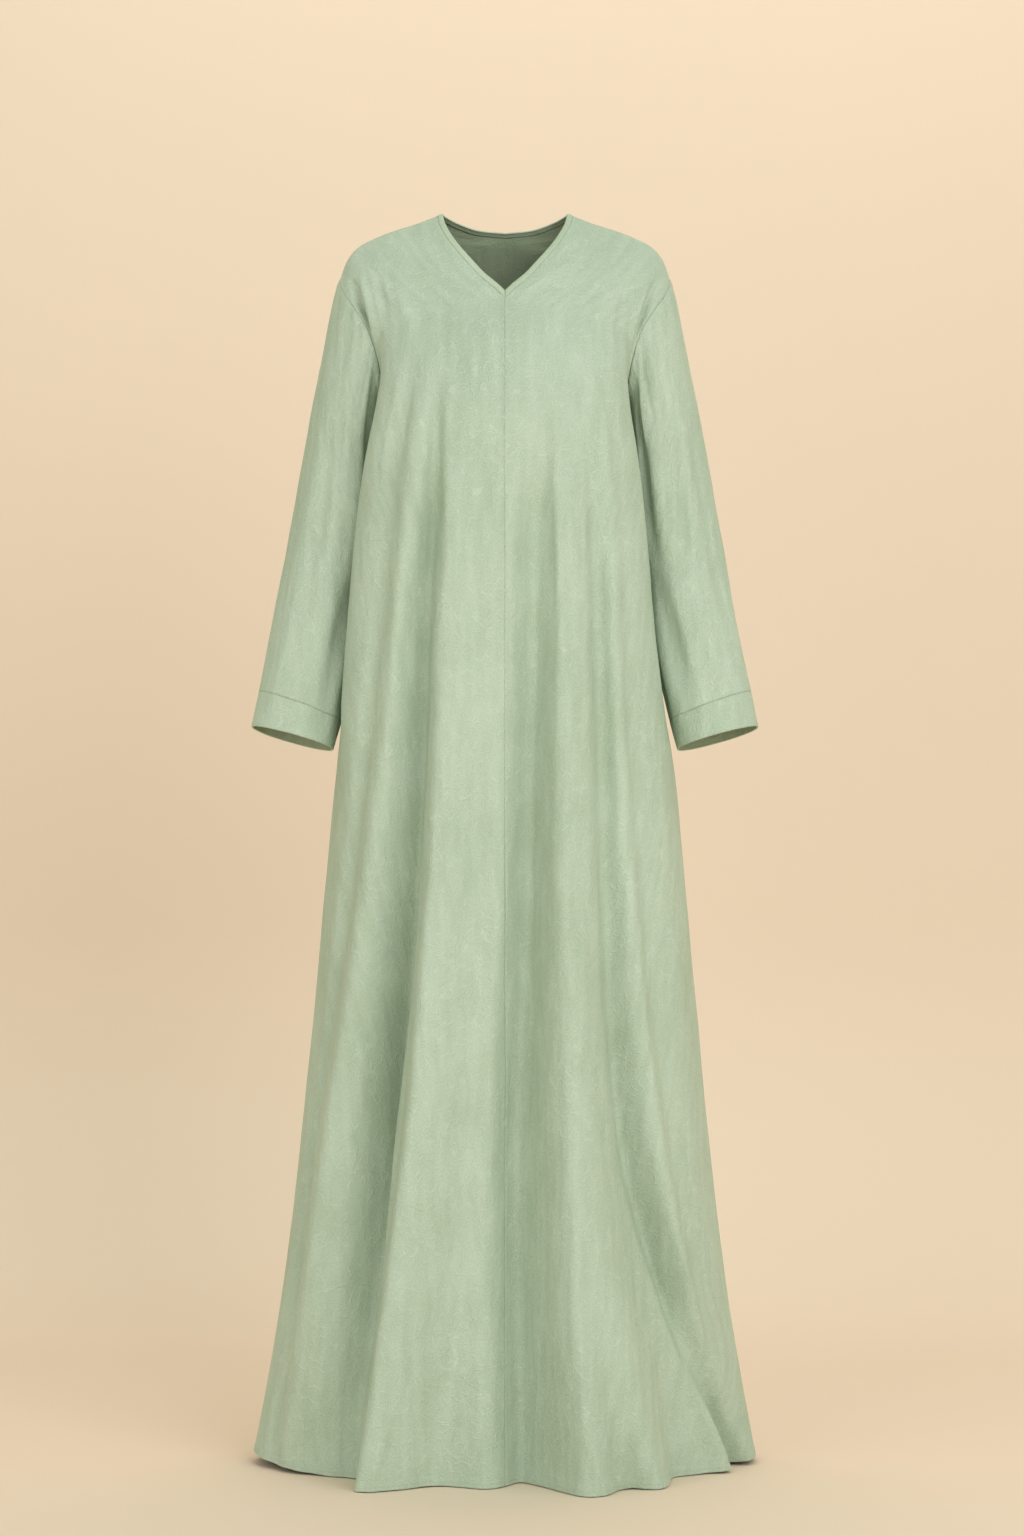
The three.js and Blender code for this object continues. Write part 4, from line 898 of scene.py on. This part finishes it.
front_left = shell(Sheet("front_left_cloth", *joined([(grids["fl"], False, False, body_uv(grids["fl"], 1, 0.0))])), CLOTH, any_seam, OUTER)
front_right = shell(Sheet("front_right_cloth", *joined([(grids["fr"], False, True, body_uv(grids["fr"], -1, -0.02))])), CLOTH, any_seam, OUTER)
back = shell(Sheet("back_cloth", *joined([(grids["bl"], False, True, body_uv(grids["bl"], 1, 3.0)),
                                          (grids["br"], False, False, body_uv(grids["br"], -1, 3.0))])), CLOTH, any_seam, OUTER)
pieces = {"front_left": front_left, "front_right": front_right, "back": back}


def tube(name, rows, side, offset, thick, seam_ends):
    rows = np.roll(rows, -YOKE_ROWS, axis=1)         # from the underarm round to the underarm
    whole = cloth_uv(np.concatenate([rows, rows[:, :1]], 1)).reshape(len(rows), -1, 2)
    uv = whole[:, :-1].reshape(-1, 2) + [offset, 0]
    obj = shell(Sheet(name, *joined([(rows, True, side > 0, uv)])), thick, seam_ends, OUTER)
    run_on(obj.data, whole[:, 0, 1], whole[:, -1, 0])
    return obj


for side, word in ((1, "left"), (-1, "right")):
    rows = worn_sleeve(sleeve_rows(side, 0, CUFF_HEM_FROM, SLEEVE_ROWS), 0, CUFF_HEM_FROM, side)
    pieces["sleeve_" + word] = tube(f"sleeve_{word}_cloth", rows, side, 5 + side, CLOTH, any_seam)
    rows = worn_sleeve(sleeve_rows(side, CUFF_HEM_FROM, 1, CUFF_ROWS), CUFF_HEM_FROM, 1, side)
    pieces["cuff_hem_" + word] = tube(f"cuff_hem_{word}_cloth", rows, side, 8 + side, HEM_CLOTH, lambda p: p[:, 2] > -612)

# binding: a folded strip, rounded across, mitred at the point of the V
ACROSS = 7


def binding_rows():
    out_ = np.concatenate([neck["frontOut"][::-1], neck["backOut"][1:]])
    in_ = np.concatenate([neck["frontIn"][::-1], neck["backIn"][1:]])
    t = (np.arange(ACROSS) / (ACROSS - 1))[None, :, None]
    left = out_[:, None] * (1 - t) + in_[:, None] * t
    right = (left * [-1, 1, 1])[:-1][::-1]
    return left, right


bl, br = binding_rows()
EPS = 0.02
bl2, br2 = bl.copy(), br.copy()
bl2[0, :, 0] += EPS
br2[-1, :, 0] -= EPS
brows = np.concatenate([bl2, br2])
buv = cloth_uv(brows) + [11, 0]
bind = Sheet("neck_binding_cloth", *joined([(brows, False, False, buv)]))
crown = np.sin(np.pi * np.tile((np.arange(ACROSS) + 0.4) / ACROSS, len(brows)))[bind.keep]
bind.points = bind.points + bind.normals * (0.55 * crown)[:, None]
pieces["neck_binding"] = shell(bind, BINDING_CLOTH, lambda p: np.ones(len(p), bool), [BIND_OUT, CLOTH_IN])


# ---------------------------------------------------------------- stitches
def stitch_row(name, line, normals, length=2.6, gap=0.9, width=0.45, rise=0.18, sag=0.10):
    """Small rounded stitches, end to end along a line that lies on the cloth."""
    a = arc(line)
    verts, faces = [], []
    start = 0.4
    while start + length < a[-1]:
        base = len(verts)
        for k, (f, w, h) in enumerate(((0, 0.45, -0.2), (0.25, 0.9, 0.8), (0.5, 1.0, 1.0), (0.75, 0.9, 0.8), (1, 0.45, -0.2))):
            s = start + length * f
            p = np.array([np.interp(s, a, line[:, c]) for c in range(3)])
            q = np.array([np.interp(min(a[-1], s + 0.4), a, line[:, c]) for c in range(3)])
            n = unit(np.array([np.interp(s, a, normals[:, c]) for c in range(3)]))
            cross = unit(np.cross(n, unit(q - p)))
            verts += [p + cross * width * w + n * -sag, p + n * (rise * h + 0.02), p - cross * width * w + n * -sag]
            if k:
                o = base + 3 * k
                faces += [(o - 3, o - 2, o + 1, o), (o - 2, o - 1, o + 2, o + 1), (o - 1, o - 3, o, o + 2)]
        faces += [(base, base + 2, base + 1), (base + 12, base + 13, base + 14)]
        start += length + gap
    mesh = bpy.data.meshes.new(name)
    mesh.from_pydata((np.array(verts) / 1000).tolist(), [], faces)
    mesh.polygons.foreach_set("use_smooth", np.ones(len(faces), bool))
    mesh.update()
    obj = bpy.data.objects.new(name, mesh)
    bpy.context.scene.collection.objects.link(obj)
    obj.data.materials.append(THREAD)
    return obj


def rows_at(rows, distance_from_end):
    """The line that lies a given distance up from the last row."""
    line = []
    for c in range(rows.shape[1]):
        col = rows[:, c][::-1]
        a = arc(col[:60])
        line.append([np.interp(distance_from_end, a, col[:60, k]) for k in range(3)])
    return np.array(line)


def outward(rows, line, around):
    last_ = rows[-1]
    nxt, prv = np.roll(last_, -1, 0), np.roll(last_, 1, 0)
    if not around:
        nxt[-1], prv[0] = last_[-1], last_[0]
    up = unit(rows[-3] - rows[-1])
    n = unit(np.cross(unit(nxt - prv), up))
    centre = np.array([last_[:, 0].mean(), 20.0 if not around else last_[:, 1].mean(), last_[:, 2].mean()])
    flip = np.sign((n * (line - centre)).sum(1))
    return n * flip[:, None]


stitches = []
for key, name in (("fl", "front_left"), ("fr", "front_right")):
    made = []
    for d, tag in ((BOTTOM_HEM, "upper"), (BOTTOM_HEM - 5.5, "lower")):
        line = rows_at(grids[key], d)
        made.append(stitch_row(f"hem_stitches_{name}_{tag}", line, outward(grids[key], line, False)))
    stitches.append((name, made))
made = []
for d, tag in ((BOTTOM_HEM, "upper"), (BOTTOM_HEM - 5.5, "lower")):
    both = np.concatenate([grids["bl"][:, ::-1], grids["br"][:, 1:]], 1)
    line = rows_at(both, d)
    made.append(stitch_row(f"hem_stitches_back_{tag}", line, outward(both, line, False)))
stitches.append(("back", made))
for side, word in ((1, "left"), (-1, "right")):
    rows = worn_sleeve(sleeve_rows(side, 0, CUFF_HEM_FROM, SLEEVE_ROWS), 0, CUFF_HEM_FROM, side)
    closed = np.concatenate([rows, rows[:, :1]], 1)
    line = rows_at(closed, 1.4)
    n = outward(closed, line, True)
    n[0] = n[-1] = unit(n[0] + n[-1])
    stitches.append(("sleeve_" + word, [stitch_row(f"cuff_stitches_{word}", line, n, width=0.4)]))

# ---------------------------------------------------------------- what each piece stands for
for node, obj in pieces.items():
    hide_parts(node)
    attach(obj, "root")
for node, made in stitches:
    for obj in made:
        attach(obj, "root")


# ---------------------------------------------------------------- floor, backdrop, light, camera
def stage_material(name, colour, rough=0.9):
    m, t = nodes_of(name)
    out = add(t, "ShaderNodeOutputMaterial")
    b = add(t, "ShaderNodeBsdfPrincipled")
    b.inputs["Roughness"].default_value = rough
    b.inputs["Specular IOR Level"].default_value = 0.1
    n = add(t, "ShaderNodeTexNoise")
    n.inputs["Scale"].default_value = 1.3
    co = add(t, "ShaderNodeTexCoord")
    t.links.new(co.outputs["Object"], n.inputs["Vector"])
    r = add(t, "ShaderNodeMix", data_type="RGBA")
    r.inputs["A"].default_value = (*[c * 0.97 for c in colour], 1)
    r.inputs["B"].default_value = (*colour, 1)
    t.links.new(n.outputs["Fac"], r.inputs["Factor"])
    t.links.new(r.outputs["Result"], b.inputs["Base Color"])
    side = add(t, "ShaderNodeNewGeometry")            # seen from behind, the paper isn't there
    clear = add(t, "ShaderNodeBsdfTransparent")
    pick = add(t, "ShaderNodeMixShader")
    t.links.new(side.outputs["Backfacing"], pick.inputs[0])
    t.links.new(b.outputs[0], pick.inputs[1])
    t.links.new(clear.outputs[0], pick.inputs[2])
    t.links.new(pick.outputs[0], out.inputs[0])
    return m


FLOOR_Z, WALL_Y = -LENGTH / 1000 - 0.001, 1.5
profile = [(-9.0, FLOOR_Z)] + [(y, FLOOR_Z) for y in (-6.0, -3.0, 0.0, 0.9)]
for k in range(1, 13):
    t_ = k / 12 * math.pi / 2
    profile.append((WALL_Y - 0.6 + 0.6 * math.sin(t_), FLOOR_Z + 0.6 * (1 - math.cos(t_))))
profile += [(WALL_Y, 1.0), (WALL_Y, 4.5)]
verts, faces = [], []
for i, x in enumerate((-7, 7)):
    verts += [(x, y, z) for y, z in profile]
n_ = len(profile)
for k in range(n_ - 1):
    faces.append((k, n_ + k, n_ + k + 1, k + 1))
mesh = bpy.data.meshes.new("backdrop")
mesh.from_pydata(verts, [], faces)
mesh.polygons.foreach_set("use_smooth", np.ones(len(faces), bool))
drop = bpy.data.objects.new("backdrop", mesh)
bpy.context.scene.collection.objects.link(drop)
drop.data.materials.append(stage_material("backdrop_paper", (0.89, 0.735, 0.60)))


def area_light(name, at, to, size, watts, colour):
    data = bpy.data.lights.new(name, "AREA")
    data.shape, data.size, data.size_y, data.energy, data.color = "RECTANGLE", size[0], size[1], watts, colour
    obj = bpy.data.objects.new(name, data)
    bpy.context.scene.collection.objects.link(obj)
    obj.location = at
    d = np.array(to, float) - np.array(at, float)
    from mathutils import Vector
    obj.rotation_euler = Vector(d).to_track_quat("-Z", "Y").to_euler()
    return obj


area_light("key", (1.70, -3.62, 0.85), (0, 0, -0.85), (2.2, 2.4), 67, (1.0, 1.0, 1.0))
area_light("side", (3.35, -2.35, 0.1), (0, 0, -0.85), (2.2, 2.2), 13, (1.0, 1.0, 1.0))
area_light("fill", (-2.3, -3.4, -0.3), (0, 0, -0.90), (2.4, 2.4), 33, (1.0, 1.0, 1.0))
area_light("back", (0, 1.15, 1.5), (0, 0.15, -0.7), (2.4, 0.8), 15, (1.0, 1.0, 1.0))
world = bpy.data.worlds.new("soft")
bpy.context.scene.world = world
world.use_nodes = True
bg = world.node_tree.nodes["Background"]
bg.inputs[0].default_value = (0.94, 1.0, 0.84, 1)
bg.inputs[1].default_value = 0.56

cam_data = bpy.data.cameras.new("camera")
cam_data.sensor_fit, cam_data.sensor_width, cam_data.lens = "AUTO", 36.0, 36.0 * 4105 / 1536
cam_data.clip_end = 60
camera = bpy.data.objects.new("camera", cam_data)
bpy.context.scene.collection.objects.link(camera)
camera.location = (0.0085, -5.0, -0.675)
camera.rotation_euler = (math.radians(90), 0, 0)
bpy.context.scene.camera = camera
bpy.context.scene.view_settings.view_transform = "Standard"
